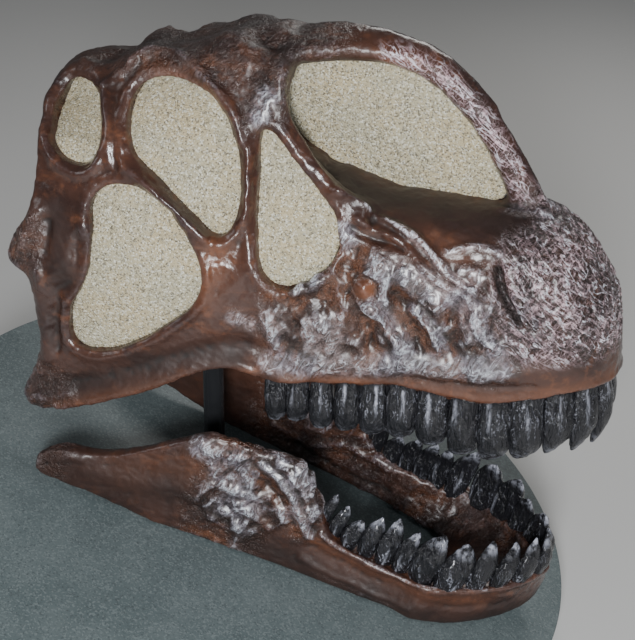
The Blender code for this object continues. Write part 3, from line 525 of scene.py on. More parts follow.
def lattice(i, j, k, seed):
    """A repeatable direction for every point of a grid of whole numbers."""
    n = (i * 73856093) ^ (j * 19349663) ^ (k * 83492791) ^ (seed * 2654435)
    n = (n ^ (n >> 13)) * 1274126177 & 0x7FFFFFFF
    n = (n ^ (n >> 15)) * 668265263 & 0x7FFFFFFF
    return [((n >> shift) & 1023) / 511.5 - 1 for shift in (0, 10, 20)]


def ripple(points, size, seed=0, octaves=1):
    """Smooth noise from -1 to 1 with waves of about the given size."""
    total = np.zeros(len(points))
    share = 1.0
    for octave in range(octaves):
        spot = points / size * 2 ** octave + 17.3 * octave
        base = np.floor(spot).astype(np.int64)
        part = spot - base
        ease = part ** 3 * (part * (part * 6 - 15) + 10)
        layer = np.zeros(len(points))
        for corner in np.ndindex(2, 2, 2):
            grid = base + corner
            slope = lattice(grid[:, 0], grid[:, 1], grid[:, 2], seed + octave)
            pull = sum(slope[a] * (part[:, a] - corner[a]) for a in range(3))
            weight = np.prod([ease[:, a] if corner[a] else 1 - ease[:, a] for a in range(3)], 0)
            layer += pull * weight
        total += layer * share
        share *= 0.5
    return total * 1.4


def waver(points, size, seeds):
    """One ripple for each axis, as an offset of every point."""
    return np.stack([ripple(points, size, seed) for seed in seeds], 1)


def facet(points, size, seed):
    """Flat-faced relief from -1 to 1, like crumpled foil."""
    spot = points / size + waver(points, size * 1.7, (seed + 11, seed + 12, seed + 13)) * 0.35
    base = np.floor(spot).astype(np.int64)
    part = spot - base
    order = np.argsort(-part, axis=1)
    rows = np.arange(len(points))
    here = lattice(base[:, 0], base[:, 1], base[:, 2], seed)[0]
    total = here.copy()
    for rank in range(3):
        axis = order[:, rank]
        base[rows, axis] += 1
        ahead = lattice(base[:, 0], base[:, 1], base[:, 2], seed)[0]
        total += part[rows, axis] * (ahead - here)
        here = ahead
    return total


def crumple(points, size, seed):
    """Folded relief from -0.5 to 0.5 with sharp crests."""
    warp = waver(points, size * 2.2, (seed + 11, seed + 12, seed + 13)) * size * 0.5
    return 0.5 - np.minimum(np.abs(ripple(points + warp, size, seed, 2)) * 1.6, 1)


def foil(slant, sizes, rises, seeds):
    """Large and small facets under fine folds: the relief, and where it stands up."""
    large, small = facet(slant, sizes[0], seeds[0]), facet(slant, sizes[1], seeds[1])
    folds = crumple(slant, sizes[2], seeds[2])
    return large * rises[0] + small * rises[1] + folds * rises[2], large + small * 0.5


def away_from_middle(points, normals):
    """How far each face looks away from the midline, from -1 to 1."""
    return normals[:, 1] * np.sign(points[:, 1])


def path_distance(points, path):
    """Distance of every point from a run of straight pieces."""
    if len(path) == 1:
        return np.linalg.norm(points - path[0], axis=1)
    best = np.full(len(points), 1e9)
    for a, b in zip(path, path[1:]):
        run = b - a
        t = np.clip((points - a) @ run / (run @ run), 0, 1)
        best = np.minimum(best, np.linalg.norm(points - a - t[:, None] * run, axis=1))
    return best


def fold(points, normals):
    """Points and normals of both sides laid on the left one."""
    side = np.where(points[:, 1:2] < 0, (1, -1, 1), (1, 1, 1))
    return points * side, normals * side


def onto(points, normals, path):
    """A path with each of its points moved square on to a surface."""
    moved = []
    for spot in np.array(path, float):
        k = ((points - spot) ** 2).sum(1).argmin()
        moved.append(spot + normals[k] * ((points[k] - spot) @ normals[k]))
    return moved


def add_ridges(height, points, normals, ridges, wander=0.0):
    """Add rounded ridges (or grooves) along paths, which waver a little along the surface."""
    few = slice(None, None, SNAP_STEP)
    spots = points + wander
    if np.ndim(wander):
        spots -= normals * (wander * normals).sum(1)[:, None]
    for path, width, rise in ridges:
        add_ridge(height, spots, onto(points[few], normals[few], path), width, rise)


def add_ridge(height, points, path, width, rise):
    """Add a rounded ridge (or groove) along a path to a field of heights."""
    path = smooth_run(path, 3, closed=False) if len(path) > 2 else np.array(path, float)
    reach = 3 * width
    near = np.all((points > path.min(0) - reach) & (points < path.max(0) + reach), axis=1)
    if near.any():
        away = path_distance(points[near], path)
        height[near] += rise * np.exp(-(away / width) ** 2)


def loop_distance(flat, loop):
    """Signed distance of (x, z) points from a closed outline, positive outside."""
    best = np.full(len(flat), 1e9)
    inside = np.zeros(len(flat), bool)
    for a, b in zip(loop, np.roll(loop, -1, axis=0)):
        run = b - a
        t = np.clip((flat - a) @ run / (run @ run), 0, 1)
        best = np.minimum(best, np.linalg.norm(flat - a - t[:, None] * run, axis=1))
        crosses = (a[1] > flat[:, 1]) != (b[1] > flat[:, 1])
        if a[1] != b[1]:
            inside ^= crosses & (flat[:, 0] < a[0] + (flat[:, 1] - a[1]) / (b[1] - a[1]) * run[0])
    return np.where(inside, -best, best)


def band(value, low, high):
    """0 below low, 1 above high and smooth between them."""
    t = np.clip((value - low) / (high - low), 0, 1)
    return t * t * (3 - 2 * t)


def read_mesh(made):
    """A mesh's points and normals as arrays."""
    count = len(made.data.vertices)
    points, normals = np.empty(count * 3), np.empty(count * 3)
    made.data.vertices.foreach_get("co", points)
    made.data.vertex_normals.foreach_get("vector", normals)
    return points.reshape(-1, 3), normals.reshape(-1, 3)


def swell(made, points, normals, height):
    """Move each point of a mesh along its normal by its height."""
    made.data.vertices.foreach_set("co", (points + normals * height[:, None]).ravel())
    made.data.update()


def even_out(made, field, rounds):
    """Average a field over each point's neighbours, several times."""
    edges = np.empty(len(made.data.edges) * 2, np.int64)
    made.data.edges.foreach_get("vertices", edges)
    a, b = edges[::2], edges[1::2]
    count = len(field)
    links = np.bincount(a, minlength=count) + np.bincount(b, minlength=count)
    links = np.maximum(links, 1)
    for _ in range(rounds):
        total = np.zeros_like(field)
        for k in range(field.shape[1]):
            column = field[:, k]
            total[:, k] = np.bincount(a, column[b], count) + np.bincount(b, column[a], count)
        field = field * 0.4 + total / links[:, None] * 0.6
    return field


def paint(made, name, channels):
    """Store up to three fields (0 to 1) on a mesh's points for its finish."""
    layer = made.data.attributes.new(name, "FLOAT_COLOR", "POINT")
    values = np.ones((len(made.data.vertices), 4), np.float32)
    for k, field in enumerate(channels):
        values[:, k] = np.clip(field, 0, 1)
    layer.data.foreach_set("color", values.ravel())


def hollows(made, rounds=14, depth=0.0012):
    """How far each point stands out of (1) or lies in (0) the surface round it."""
    points, normals = read_mesh(made)
    stand = np.sum((points - even_out(made, points, rounds)) * normals, axis=1)
    return 0.5 + 0.5 * np.tanh(stand / depth)


# ---- Shapes of the cranium ------------------------------------------------
def vault_body(inset=0.0, crown_inset=0.0, x_low=-0.300, x_high=0.110, name="vault"):
    """The cranium behind the snout as one closed body, its faces set in by inset."""
    rings = []
    for x in np.linspace(x_low, x_high, 56):
        top = rows_at(x, VAULT, 1) - crown_inset
        crown, waist, cheek = (rows_at(x, VAULT, k) - inset for k in (2, 3, 4))
        side = [
            (crown * 0.5, top), (crown, top - 0.006), (crown + 0.013, top - 0.022),
            ((crown + 0.013 + waist) / 2 + 0.004, (top - 0.022 + WAIST_Z) / 2),
            (waist, WAIST_Z), (cheek, CHEEK_Z), (cheek * 0.985, 0.010),
            (cheek * 0.95, VAULT_FLOOR_Z),
        ]
        run = smooth_run(side, 4, closed=False)
        rings.append([(x, y, z) for y, z in run] + [(x, -y, z) for y, z in run[::-1]])
    return skin(rings, name)


def snout_half(x, inset=0.0):
    """Half-width of the snout, seen from above."""
    if x <= SNOUT_TURN_X:
        t = max(x - SNOUT_REAR_X, 0) / (SNOUT_TURN_X - SNOUT_REAR_X)
        return SNOUT_HALF_REAR + (SNOUT_HALF_TURN - SNOUT_HALF_REAR) * t ** 0.7 - inset
    u = min((x - SNOUT_TURN_X) / (SNOUT_X - inset - SNOUT_TURN_X), 1)
    return (SNOUT_HALF_TURN - inset) * (1 - u ** SNOUT_ROUND) ** (1 / SNOUT_ROUND)


def snout_rings(inset, bottom_of, top_of, square_of, steps=70, sides=80):
    """Upright sections of the snout, from its back to its tip."""
    rings = []
    for i in range(steps + 1):
        u = 1 - (1 - i / steps) ** 1.8
        x = SNOUT_REAR_X + (SNOUT_X - inset - SNOUT_REAR_X) * min(u, 0.9995)
        half = max(snout_half(x, inset), 0.002)
        top, bottom = top_of(x), bottom_of(x)
        middle, rise = (top + bottom) / 2, (top - bottom) / 2
        ring = []
        for a in angles(sides):
            power = 2 / (square_of(x) if math.sin(a) > 0 else 6)
            y = half * math.copysign(abs(math.cos(a)) ** power, math.cos(a))
            z = middle + rise * math.copysign(abs(math.sin(a)) ** power, math.sin(a))
            ring.append((x, y, z))
        rings.append(ring)
    return rings


def snout_square(x):
    share = (x - SNOUT_REAR_X) / (SNOUT_X - SNOUT_REAR_X)
    return SNOUT_SQUARE[0] + (SNOUT_SQUARE[1] - SNOUT_SQUARE[0]) * share


def palate_height(x):
    return PALATE_RISE * (1 - max(x, 0) / 0.45)


def snout_top(x):
    return rows_at(x, SNOUT_TOP, 1)


def tooth_line(x):
    return rows_at(x, TOOTH_LINE, 1)


def lip_line(x):
    return tooth_line(x) - rows_at(x, LIP_DROP, 1)


def snout_body():
    """Solid snout with the arched palate hollowed from below."""
    body = skin(snout_rings(0, lip_line, snout_top, snout_square))
    return cut(body, skin(snout_rings(
        JAW_WALL, lambda x: PALATE_FLOOR_Z, palate_height, lambda x: PALATE_SQUARE)))


def opening_prism(place, grow, side, name="prism"):
    """One opening's outline on the right (-1) or left (1), grown and extruded outwards."""
    loop = offset_loop(smooth_run(OPENINGS[place], 5), grow)
    near, far = sorted((side * SIDE_REACH, side * OPENING_REACH[place]))
    return side_prism(loop, near, far, name)


def cranium_blank():
    """Roof, cheeks, snout and nostril arch melted into one skin, openings still closed."""
    wall = vault_body()
    cut(wall, side_prism(smooth_run(VAULT_SIDE, 6)), "INTERSECT")
    cut(wall, vault_body(WALL, ROOF, *INNER_SPAN))
    arch = tube([(x, 0, z) for x, z, _, _ in ARCH], [r[2] for r in ARCH], [r[3] for r in ARCH])
    floor = tube([(x, 0, z) for x, z, _ in NARIS_FLOOR], [r[2] for r in NARIS_FLOOR],
                 [NARIS_FLOOR_HALF] * len(NARIS_FLOOR), sides=48)
    return melt(gather([wall, snout_body(), arch, floor], "cranium"), *CRANIUM_MELT)


def carve_cranium(made):
    """Raise the rims, ridges, swellings and hollows of the cranium's outer face."""
    points, normals = read_mesh(made)
    folded, faces = fold(points, normals)
    wander = waver(points, 0.022, (3, 5, 8)) * 0.0022
    height = np.zeros(len(points))
    add_ridges(height, folded, faces, RIDGES, wander)
    add_ridges(height, points, normals, LEFT_RIDGES)
    outward = away_from_middle(points, normals)
    outer = band(outward + 0.6 * np.maximum(normals[:, 2], 0), -0.05, 0.35)
    flat = (folded + wander)[:, [0, 2]]
    for place, (away, width, rise) in RIMS.items():
        edge = loop_distance(flat, smooth_run(OPENINGS[place], 3))
        height += outer * rise * np.exp(-((edge - away) / width) ** 2) * (points[:, 0] < 0.06)
        height -= outer * 0.0022 * (1 - band(edge, -0.001, 0.004)) * (edge > -0.004)
    swell(made, points, normals, height)


def rough_places(points):
    """Where the bone is rough, from 0 to 1: on the snout's tip, on the cheek and elsewhere."""
    x, z = points[:, 0], points[:, 2]
    back = band(x, 0.190, 0.212)
    tip = band(x, 0.168, 0.205) * band(z, 0.026, 0.052) * (1 - band(z, 0.140, 0.150) * (1 - back))
    top = band(x, 0.02, 0.12)
    cheek = band(x, -0.034, 0.006) * (1 - band(x, 0.180, 0.200)) * band(z, -0.002, 0.020)
    cheek *= 1 - band(z + 0.016 * top, 0.126, 0.140)
    roof = band(z, 0.235, 0.262) * (1 - band(x, 0.010, 0.050)) * 0.5
    lump = np.exp(-((x + 0.034) ** 2 + (z - 0.238) ** 2) / 0.016 ** 2) * 0.9
    joint = band(-x, 0.190, 0.225) * band(-z, 0.015, 0.045) * 0.7
    rear = band(-x, 0.222, 0.240) * band(z, 0.060, 0.080) * (1 - band(z, 0.110, 0.135)) * 0.7
    return tip, cheek, np.clip(roof + lump + joint + rear, 0, 1)


BOSS = mm((69, 90))  # middle (x, z) of the smooth boss on the cheek


def grain_cranium(made):
    """Give the cranium its fine surface and store what its finish needs."""
    points, normals = read_mesh(made)
    outward = away_from_middle(points, normals)
    upward, ahead = np.maximum(normals[:, 2], 0), np.abs(normals[:, 0])
    outer = band(outward + 0.7 * upward + 0.5 * ahead, 0.0, 0.4)
    tip, cheek, rest = (place * outer for place in rough_places(points))
    x, y, z = points[:, 0], points[:, 1], points[:, 2]
    slant = np.stack([x * 0.80 + z * 0.42, y * 0.8, (z - x * 0.50) * 0.62], 1)
    low_band = 1 - 0.6 * (1 - band(z, 0.026, 0.040))
    boss = np.hypot(x - BOSS[0], z - BOSS[1])
    cheek *= band(boss, 0.008, 0.015) * (1 - 0.75 * spread(points, normals, CREST_LINES))
    relief, raised = foil(slant, mm((19.0, 8.5, 6.5)), mm((4.4, 2.1, 0.9)), (21, 24, 27))
    height = cheek * low_band * relief
    pits = np.minimum(ripple(points, 0.0046, 31), 0)
    height += tip * (crumple(slant, 0.013, 27) * 0.0013 + facet(points, 0.013, 33) * 0.0007
                     + pits * 0.0017 + crumple(slant, 0.0055, 29) * 0.0009)
    height += rest * (crumple(slant, 0.011, 22) * 0.0016 + pits * 0.0006)
    height += 0.0007 * ripple(points, 0.030, 41, 2) + 0.0003 * ripple(points, 0.008, 45, 2)
    height += outer * (facet(points, 0.016, 47) * 0.0006 + crumple(slant, 0.0095, 49) * 0.0005)
    swell(made, points, normals, height)
    warm = np.maximum(spread(points, normals, WARM_PLACES),
                      cheek * band(-raised, 0.15, 0.55) * 0.75)
    paint(made, "carving", (hollows(made), np.clip(tip + cheek + rest, 0, 1), warm))
    # Pale brushing, partly a painted sheen on raised facets and crests; pink dry brush; dark wash
    # that is partly painted shade.
    pale = np.maximum(spread(points, normals, PALE_AND_SHEEN_PLACES) * outer,
                      cheek * band(raised, 0.0, 0.55) * 0.74)
    pink = np.maximum(tip, spread(points, normals, PINK_PLACES))
    paint(made, "brush_sheen_shade", (pale, pink, spread(points, normals, DARK_AND_SHADE_PLACES)))


def spread(points, normals, places):
    """How strongly a layer of paint covers each point, from its places on one side."""
    folded, faces = fold(points, normals)
    field = np.zeros(len(points))
    for place in places:
        layer = np.zeros(len(points))
        add_ridges(layer, folded, faces, [place])
        field = np.maximum(field, layer)
    return field


# The two crests on the cheek, kept free of folds: path, width, amount.
CREST_LINES = [(path, 0.0075, 1.0) for path, _, _ in RIDGES[:2]]
# Places where the stain is a clear orange-brown: path, width, amount.
WARM_PLACES = places([
    ([(0, 100, -12), (60, 88, -12), (144, 78, -10), (198, 73, -8), (244, 59, 4), (282, 20, 8)],
     10, 0.45),
    ([(69, 87, 90)], 12, 0.9),
    ([(55, 90, 110), (62, 88, 122)], 9, 0.8),
    ([(98, 85, 86), (112, 84, 66)], 7, 0.8),
    ([(40, 91, 95), (48, 90, 60)], 10, 0.6),
    ([(136, 80, 86), (146, 79, 62)], 6, 0.6),
    ([(-222, 115, -74), (-120, 117, -31), (-32, 105, -6)], 10, 0.45),
    ([(-150, 40, 250), (-110, 55, 250), (-75, 68, 235)], 8, 0.6),
    ([(-60, 105, 110), (-70, 108, 70)], 16, 0.6),
    ([(10, 60, 272), (80, 30, 270)], 12, 0.4),
    ([(120, 60, 142), (150, 70, 125)], 10, 0.35),
])
# Places brushed with pale lilac-grey, partly a painted sheen where the varnish would catch the
# light: path, width, amount.
PALE_AND_SHEEN_PLACES = places([
    ([(-12, 102, 6), (40, 91, 8), (84, 83, 14), (129, 80, 20), (190, 76, 24)], 13, 0.78),
    ([(46, 80, 138), (52, 86, 128)], 9, 0.8),
    ([(80, 85, 112), (110, 81, 104), (140, 79, 88)], 12, 0.85),
    ([(74, 87, 74), (92, 85, 51), (103, 83, 37)], 8, 1.0),
    ([(112, 83, 74), (124, 82, 62), (136, 80, 38)], 6, 1.0),
    ([(150, 78, 94), (168, 77, 70), (187, 77, 42)], 9, 1.0),
    ([(-16, 103, 53), (-8, 101, 25)], 8, 0.8),
    ([(32, 94, 55), (40, 92, 28)], 6, 0.7),
    ([(-46, 108, 52), (-30, 105, 45)], 9, 0.5),
    ([(-33, 62, 243), (-36, 64, 228)], 11, 0.75),
    ([(60, 64, 157), (94, 67, 146), (128, 75, 122), (161, 78, 100)], 4, 1.0),
    ([(135, 69, 128), (162, 61, 133), (180, 61, 129)], 4.5, 0.6),
    ([(180, 20, 153), (212, 10, 147)], 6, 0.7),
])
# Places dry-brushed with pink besides the snout's tip: path, width, amount.
PINK_PLACES = places([
    ([(70, 22, 281), (108, 18, 266), (140, 16, 238), (168, 15, 202), (190, 18, 160)], 10, 0.75),
    ([(150, 78, 94), (168, 77, 70)], 14, 0.35),
])
# Places rubbed with the dark wash, partly painted shade in the nostril, the slit, the lower cheek,
# the roof and the back: path, width, amount.
DARK_AND_SHADE_PLACES = places([
    ([(-38, 40, 222), (-28, 32, 250), (0, 22, 266), (45, 18, 272)], 12, 0.8),
    ([(181, 68, 117), (187, 73, 103), (193, 75, 91), (199, 75, 82), (205, 75, 73)], 4.2, 1.0),
    ([(20, 30, 172), (50, 35, 160), (90, 35, 156), (150, 35, 154), (185, 30, 153)], 28, 1.0),
    ([(-30, 40, 200), (-8, 45, 182), (20, 45, 168)], 16, 0.9),
    ([(-203, 118, -44), (-144, 121, -18), (-95, 117, 4), (-50, 110, 12)], 15, 0.95),
    ([(-120, 0, 270), (-180, 0, 258), (-230, 0, 240)], 40, 0.6),
    ([(-60, 0, 284), (-20, 30, 290)], 30, 0.55),
    ([(-215, 110, 130), (-205, 119, 70)], 14, 0.8),
    ([(-232, 116, 40), (-232, 116, -30)], 14, 0.4),
])


# ---- Shapes of the lower jaw ----------------------------------------------
def jaw_half(x):
    """Half-width of the lower jaw's outer face, seen from above."""
    if x <= JAW_TURN_X:
        return rows_at(x, JAW_PLAN, 1)
    u = min((x - JAW_TURN_X) / (JAW_FRONT_X - JAW_TURN_X), 1)
    return JAW_HALF_TURN * (1 - u ** JAW_ROUND) ** (1 / JAW_ROUND)


def jaw_top(x):
    if x <= JAW_TURN_X:
        return rows_at(x, JAW, 1)
    t = (x - JAW_TURN_X) / (JAW_FRONT_X - JAW_TURN_X)
    return JAW[-1][1] + (CHIN_TOP - JAW[-1][1]) * t ** 1.3


def jaw_stations():
    """Stations of one side from its back to the chin.

    Each has the outer face, the inner face above and below, the top and the bottom.
    """
    stations = []
    for x in np.linspace(JAW[0][0], JAW_TURN_X, 64):
        thick = JAW_THICK * (0.62 + 0.38 * min((x - JAW[0][0]) / 0.012, 1))
        outer = Vector((x, jaw_half(x), 0))
        inner = outer - Vector((0, thick, 0))
        near = float(band(x, SHELF_START_X, JAW_TURN_X))
        below = inner.lerp(Vector((SHELF_X, SHELF_HALF, 0)) + Vector((x - JAW_TURN_X, 0, 0)), near)
        stations.append((outer, inner, below, rows_at(x, JAW, 1), rows_at(x, JAW, 2)))
    for i in range(1, FRONT_STEPS + 1):
        a = math.pi / 2 * (1 - i / FRONT_STEPS)
        reach, aside = math.cos(a) ** (2 / JAW_ROUND), math.sin(a) ** (2 / JAW_ROUND)
        x = JAW_TURN_X + (JAW_FRONT_X - JAW_TURN_X) * reach
        outer = Vector((x, JAW_HALF_TURN * aside, 0))
        above = Vector((x - CHIN_THICK * reach, (JAW_HALF_TURN - JAW_THICK) * aside, 0))
        below = Vector((SHELF_X + (SHELF_FRONT_X - SHELF_X) * math.cos(a),
                        SHELF_HALF * math.sin(a), 0))
        bottom = JAW[-1][2] + (CHIN_BOTTOM - JAW[-1][2]) * (i / FRONT_STEPS) ** 1.5
        stations.append((outer, above, below, jaw_top(x), bottom))
    return stations


def jaw_blank():
    """Both branches of the lower jaw and the chin as one bar bent round the chin."""
    mirror = Vector((1, -1, 1))
    left = jaw_stations()
    right = [(*(point * mirror for point in row[:3]), *row[3:]) for row in reversed(left[:-1])]
    rings = []
    for outer, above, below, top, bottom in left + right:
        ring = [(outer.lerp(above, deep), up) for deep, up in JAW_OUTER]
        ring += [(outer.lerp(below, deep), up) for deep, up in JAW_BASE]
        ring += [(below.lerp(above, 0.55), 0.50), (above, 0.86), (outer.lerp(above, 0.75), 1.0)]
        ring = [point + Vector((0, 0, bottom + (top - bottom) * up)) for point, up in ring]
        rings.append(smooth_run(ring, 3))
    return melt(skin(rings, "lower_jaw"), *JAW_MELT)


def jaw_rough(points):
    """Where the jaw's bone is rough: the coronoid rise, its foot and the lip."""
    x, z = points[:, 0], points[:, 2]
    drift = 0.020 * ripple(points, 0.030, 51, 2)
    rise = band(x + drift, -0.122, -0.085) * (1 - band(x + drift * 0.6, 0.002, 0.022))
    rise *= band(z + drift, 0.030, 0.070)
    foot = band(x, -0.130, -0.100) * (1 - band(x, -0.040, -0.020)) * 0.5
    foot *= 1 - band(z, 0.045, 0.060)
    end = band(-x, 0.225, 0.245) * 0.5
    return np.clip(rise + foot + end, 0, 1)


def jaw_inside(points, normals):
    """The jaw's inner faces and the shelf behind the chin, from 0 to 1."""
    outward = away_from_middle(points, normals)
    return (1 - band(outward, -0.35, 0.05)) * band(points[:, 0], -0.130, -0.080)


def carve_jaw(made):
    """Carve the jaw, give it its fine surface and store what its finish needs."""
    points, normals = read_mesh(made)
    folded, faces = fold(points, normals)
    wander = waver(points, 0.020, (53, 55, 58)) * 0.0020
    height = np.zeros(len(points))
    add_ridges(height, folded, faces, JAW_RIDGES, wander)
    rough, inside = jaw_rough(points), jaw_inside(points, normals)
    rough = np.maximum(rough, inside * 0.6)
    x, z = points[:, 0], points[:, 2]
    slant = np.stack([x * 0.7 + z * 0.5, points[:, 1], z - x * 0.5], 1)
    relief, raised = foil(slant, mm((20.0, 8.5, 6.5)), mm((4.2, 2.0, 0.9)), (61, 64, 66))
    height += rough * relief
    height += 0.0009 * ripple(points, 0.028, 65, 2) + 0.0003 * ripple(points, 0.008, 67, 2)
    height += facet(points, 0.016, 71) * 0.0006 + crumple(slant, 0.011, 68) * 0.0005
    hem = np.exp(-((z - 0.006) / 0.006) ** 2) * band(-x, 0.00, 0.03) * (1 - band(-x, 0.17, 0.20))
    height += hem * 0.0012 * ripple(points, 0.013, 69)
    sunk = np.minimum(height, 0) * (1 - band(JAW_SOLE - z, 0, 0.002))
    height = np.where(z < JAW_SOLE, sunk, height)
    swell(made, points, normals, height)
    warm = np.maximum(spread(points, normals, JAW_WARM), rough * band(-raised, 0.15, 0.55) * 0.5)
    # Pale brushing on the coronoid and the lip, partly a painted sheen on raised facets.
    pale = np.maximum(spread(points, normals, JAW_PALE_AND_SHEEN),
                      rough * band(raised, 0.0, 0.60) * (0.62 - inside * 0.25))
    paint(made, "carving", (hollows(made), rough, warm))
    # Dark wash on the jaw's back and the dentary, partly painted shade.
    paint(made, "brush_sheen_shade", (pale, np.zeros(len(points)), spread(points, normals, JAW_DARK_AND_SHADE)))


# Places of the jaw in ochre, in pale grey that is partly a painted sheen, and in dark wash that is
# partly painted shade: path, width, amount.
JAW_WARM = places([
    ([(20, 92, 48), (76, 88, 38), (132, 89, 38), (188, 64, 40)], 10, 0.35),
    ([(-58, 100, 102), (-22, 96, 78), (0, 95, 55)], 7, 0.9),
    ([(-180, 112, 50), (-110, 104, 85)], 18, 0.45),
    ([(-100, 104, 10), (-60, 100, 6)], 6, 0.6),
])
JAW_PALE_AND_SHEEN = places([
    ([(-113, 104, 112), (-95, 103, 108), (-78, 101, 112)], 13, 0.9),
    ([(-90, 103, 88), (-68, 101, 80), (-50, 99, 64)], 12, 0.9),
    ([(-53, 99, 117), (-32, 97, 106), (-17, 96, 93), (-5, 95, 78), (10, 93, 56)], 5.5, 0.9),
    ([(20, 91, 62), (44, 89, 53), (103, 87, 48), (132, 89, 50), (188, 64, 57)], 2.2, 0.32),
    ([(26, 92, 12), (73, 88, 10), (110, 88, 8)], 3.5, 0.35),
])
JAW_DARK_AND_SHADE = places([
    ([(-265, 121, 31)], 16, 0.7),
    ([(-250, 120, 36), (-190, 112, 40), (-130, 105, 50)], 36, 0.75),
    ([(-40, 98, 20), (60, 88, 14), (130, 89, 14), (200, 50, 18), (238, 0, 22)], 20, 0.85),
])


# ---- Braincase, panels and teeth ------------------------------------------
def braincase_body():
    """Braincase, back plate with its ball joint, wings, palate and jaw joints."""
    bodies = [ball(*row) for row in CASE_BALLS] + [tube(*row) for row in CASE_BARS]
    for side in SIDES.values():
        bodies += [tube([(x, side * y, z) for x, y, z in path], widths, heights)
                   for path, widths, heights in CASE_SIDE_BARS]
    hole = tube(*SPINE_HOLE)
    case = melt(gather(bodies, "braincase_cast"), *CASE_MELT)
    cut(case, hole)
    room = vault_body(WALL - CASE_LET_IN, ROOF - CASE_LET_IN, INNER_SPAN[0], CASE_FRONT_X)
    cut(case, room, "INTERSECT")
    cut(case, block(*ROD_SLOT))
    melt(case, *CASE_LAST_MELT)
    points, normals = read_mesh(case)
    height = 0.0014 * crumple(points * (0.7, 1, 1), 0.013, 71)
    height += 0.0012 * ripple(points, 0.022, 75, 2)
    swell(case, points, normals, height)
    count = len(points)
    paint(case, "carving", (hollows(case), np.full(count, 0.35), np.full(count, 0.1)))
    # The braincase gets no pale brushing and is darkened a little all over.
    paint(case, "brush_sheen_shade", (np.zeros(count), np.zeros(count), np.full(count, 0.3)))
    return case


def sand_panel(place, side):
    """One sanded panel, its edge let a little into the bone."""
    panel = opening_prism(place, PANEL_GROW, SIDES[side], f"sand_{place}_{side}")
    cut(panel, vault_body(PANEL_OUT, PANEL_OUT), "INTERSECT")
    cut(panel, vault_body(PANEL_IN, PANEL_IN, *INNER_SPAN))
    return panel


def nostril_panel():
    loop = offset_loop(smooth_run(NARIS_PANEL, 5), NARIS_PANEL_HIDDEN)
    return side_prism(loop, -NARIS_PANEL_HALF, NARIS_PANEL_HALF, "sand_nostril")


def roughen_panel(made, seed):
    """Work a panel over until it looks trowelled and sanded by hand."""
    melt(made, *PANEL_MELT)
    points, normals = read_mesh(made)
    height = 0.0007 * ripple(points, 0.035, seed, 2) + 0.00035 * ripple(points, 0.0045, seed + 4, 2)
    swell(made, points, normals, height)
    return made


# Sections of a tooth: place along it (-1 is the root's end), half-width and
# half-depth in spacings, lean outwards in lengths.
UPPER_TOOTH = [
    (-1.0, 0.48, 0.34, -0.04), (-0.2, 0.49, 0.36, -0.03), (0.10, 0.500, 0.380, -0.010),
    (0.35, 0.530, 0.430, 0.030), (0.58, 0.535, 0.410, 0.050), (0.76, 0.500, 0.330, 0.040),
    (0.88, 0.430, 0.230, 0.015), (0.96, 0.300, 0.140, -0.015), (1.0, 0.100, 0.060, -0.030),
]
LOWER_TOOTH = [
    (-1.0, 0.40, 0.20, -0.02), (-0.2, 0.44, 0.26, -0.01), (0.10, 0.480, 0.330, 0.010),
    (0.36, 0.550, 0.390, 0.030), (0.56, 0.560, 0.350, 0.035), (0.72, 0.480, 0.270, 0.015),
    (0.86, 0.310, 0.180, -0.020), (0.95, 0.150, 0.100, -0.045), (1.0, 0.040, 0.035, -0.060),
]
TOOTH_SIDES = 26
ROW_STEPS = 400
WILD = 2.2  # how much less even the lower teeth are
UPPER_SEED, LOWER_SEED = 7, 27
WEDGE = 0.009  # slant of the worn edge of the first upper tooth


def tooth_row(half_of, x_front, x_back, widths):
    """Centre, direction along the row, spacing and number of the right-hand teeth."""
    xs = x_front - (x_front - x_back) * np.linspace(0, 1, ROW_STEPS) ** 2.4
    ys = np.array([half_of(x) for x in xs])
    ys[0] = 0
    arc = np.concatenate([[0], np.cumsum(np.hypot(np.diff(xs), np.diff(ys)))])
    ends = np.cumsum([0, *widths]) / sum(widths) * arc[-1]
    row = []
    for i, (low, high) in enumerate(zip(ends, ends[1:])):
        middle, pitch = (low + high) / 2, high - low
        before, here, after = (Vector((np.interp(at, arc, xs), -np.interp(at, arc, ys), 0))
                               for at in (middle - 0.004, middle, middle + 0.004))
        row.append((here, (after - before).normalized(), pitch, i))
    return row


def upper_row():
    row = tooth_row(lambda x: snout_half(x, UPPER_INSET), SNOUT_X - UPPER_INSET, UPPER_BACK_X,
                    UPPER_WIDTHS)
    return [(centre + Vector((0, 0, tooth_line(centre.x) + UPPER_SUNK)), along, pitch,
             -(UPPER_LENGTH - UPPER_SHORTER * (i / len(row)) ** 2), i)
            for centre, along, pitch, i in row]


def lower_row():
    row = tooth_row(lambda x: jaw_half(x) - LOWER_INSET, JAW_FRONT_X - LOWER_FRONT_INSET,
                    LOWER_BACK_X, LOWER_WIDTHS)
    return [(centre + Vector((0, 0, jaw_top(centre.x) - LOWER_SUNK)), along, pitch,
             LOWER_LENGTHS[i], i) for centre, along, pitch, i in row]


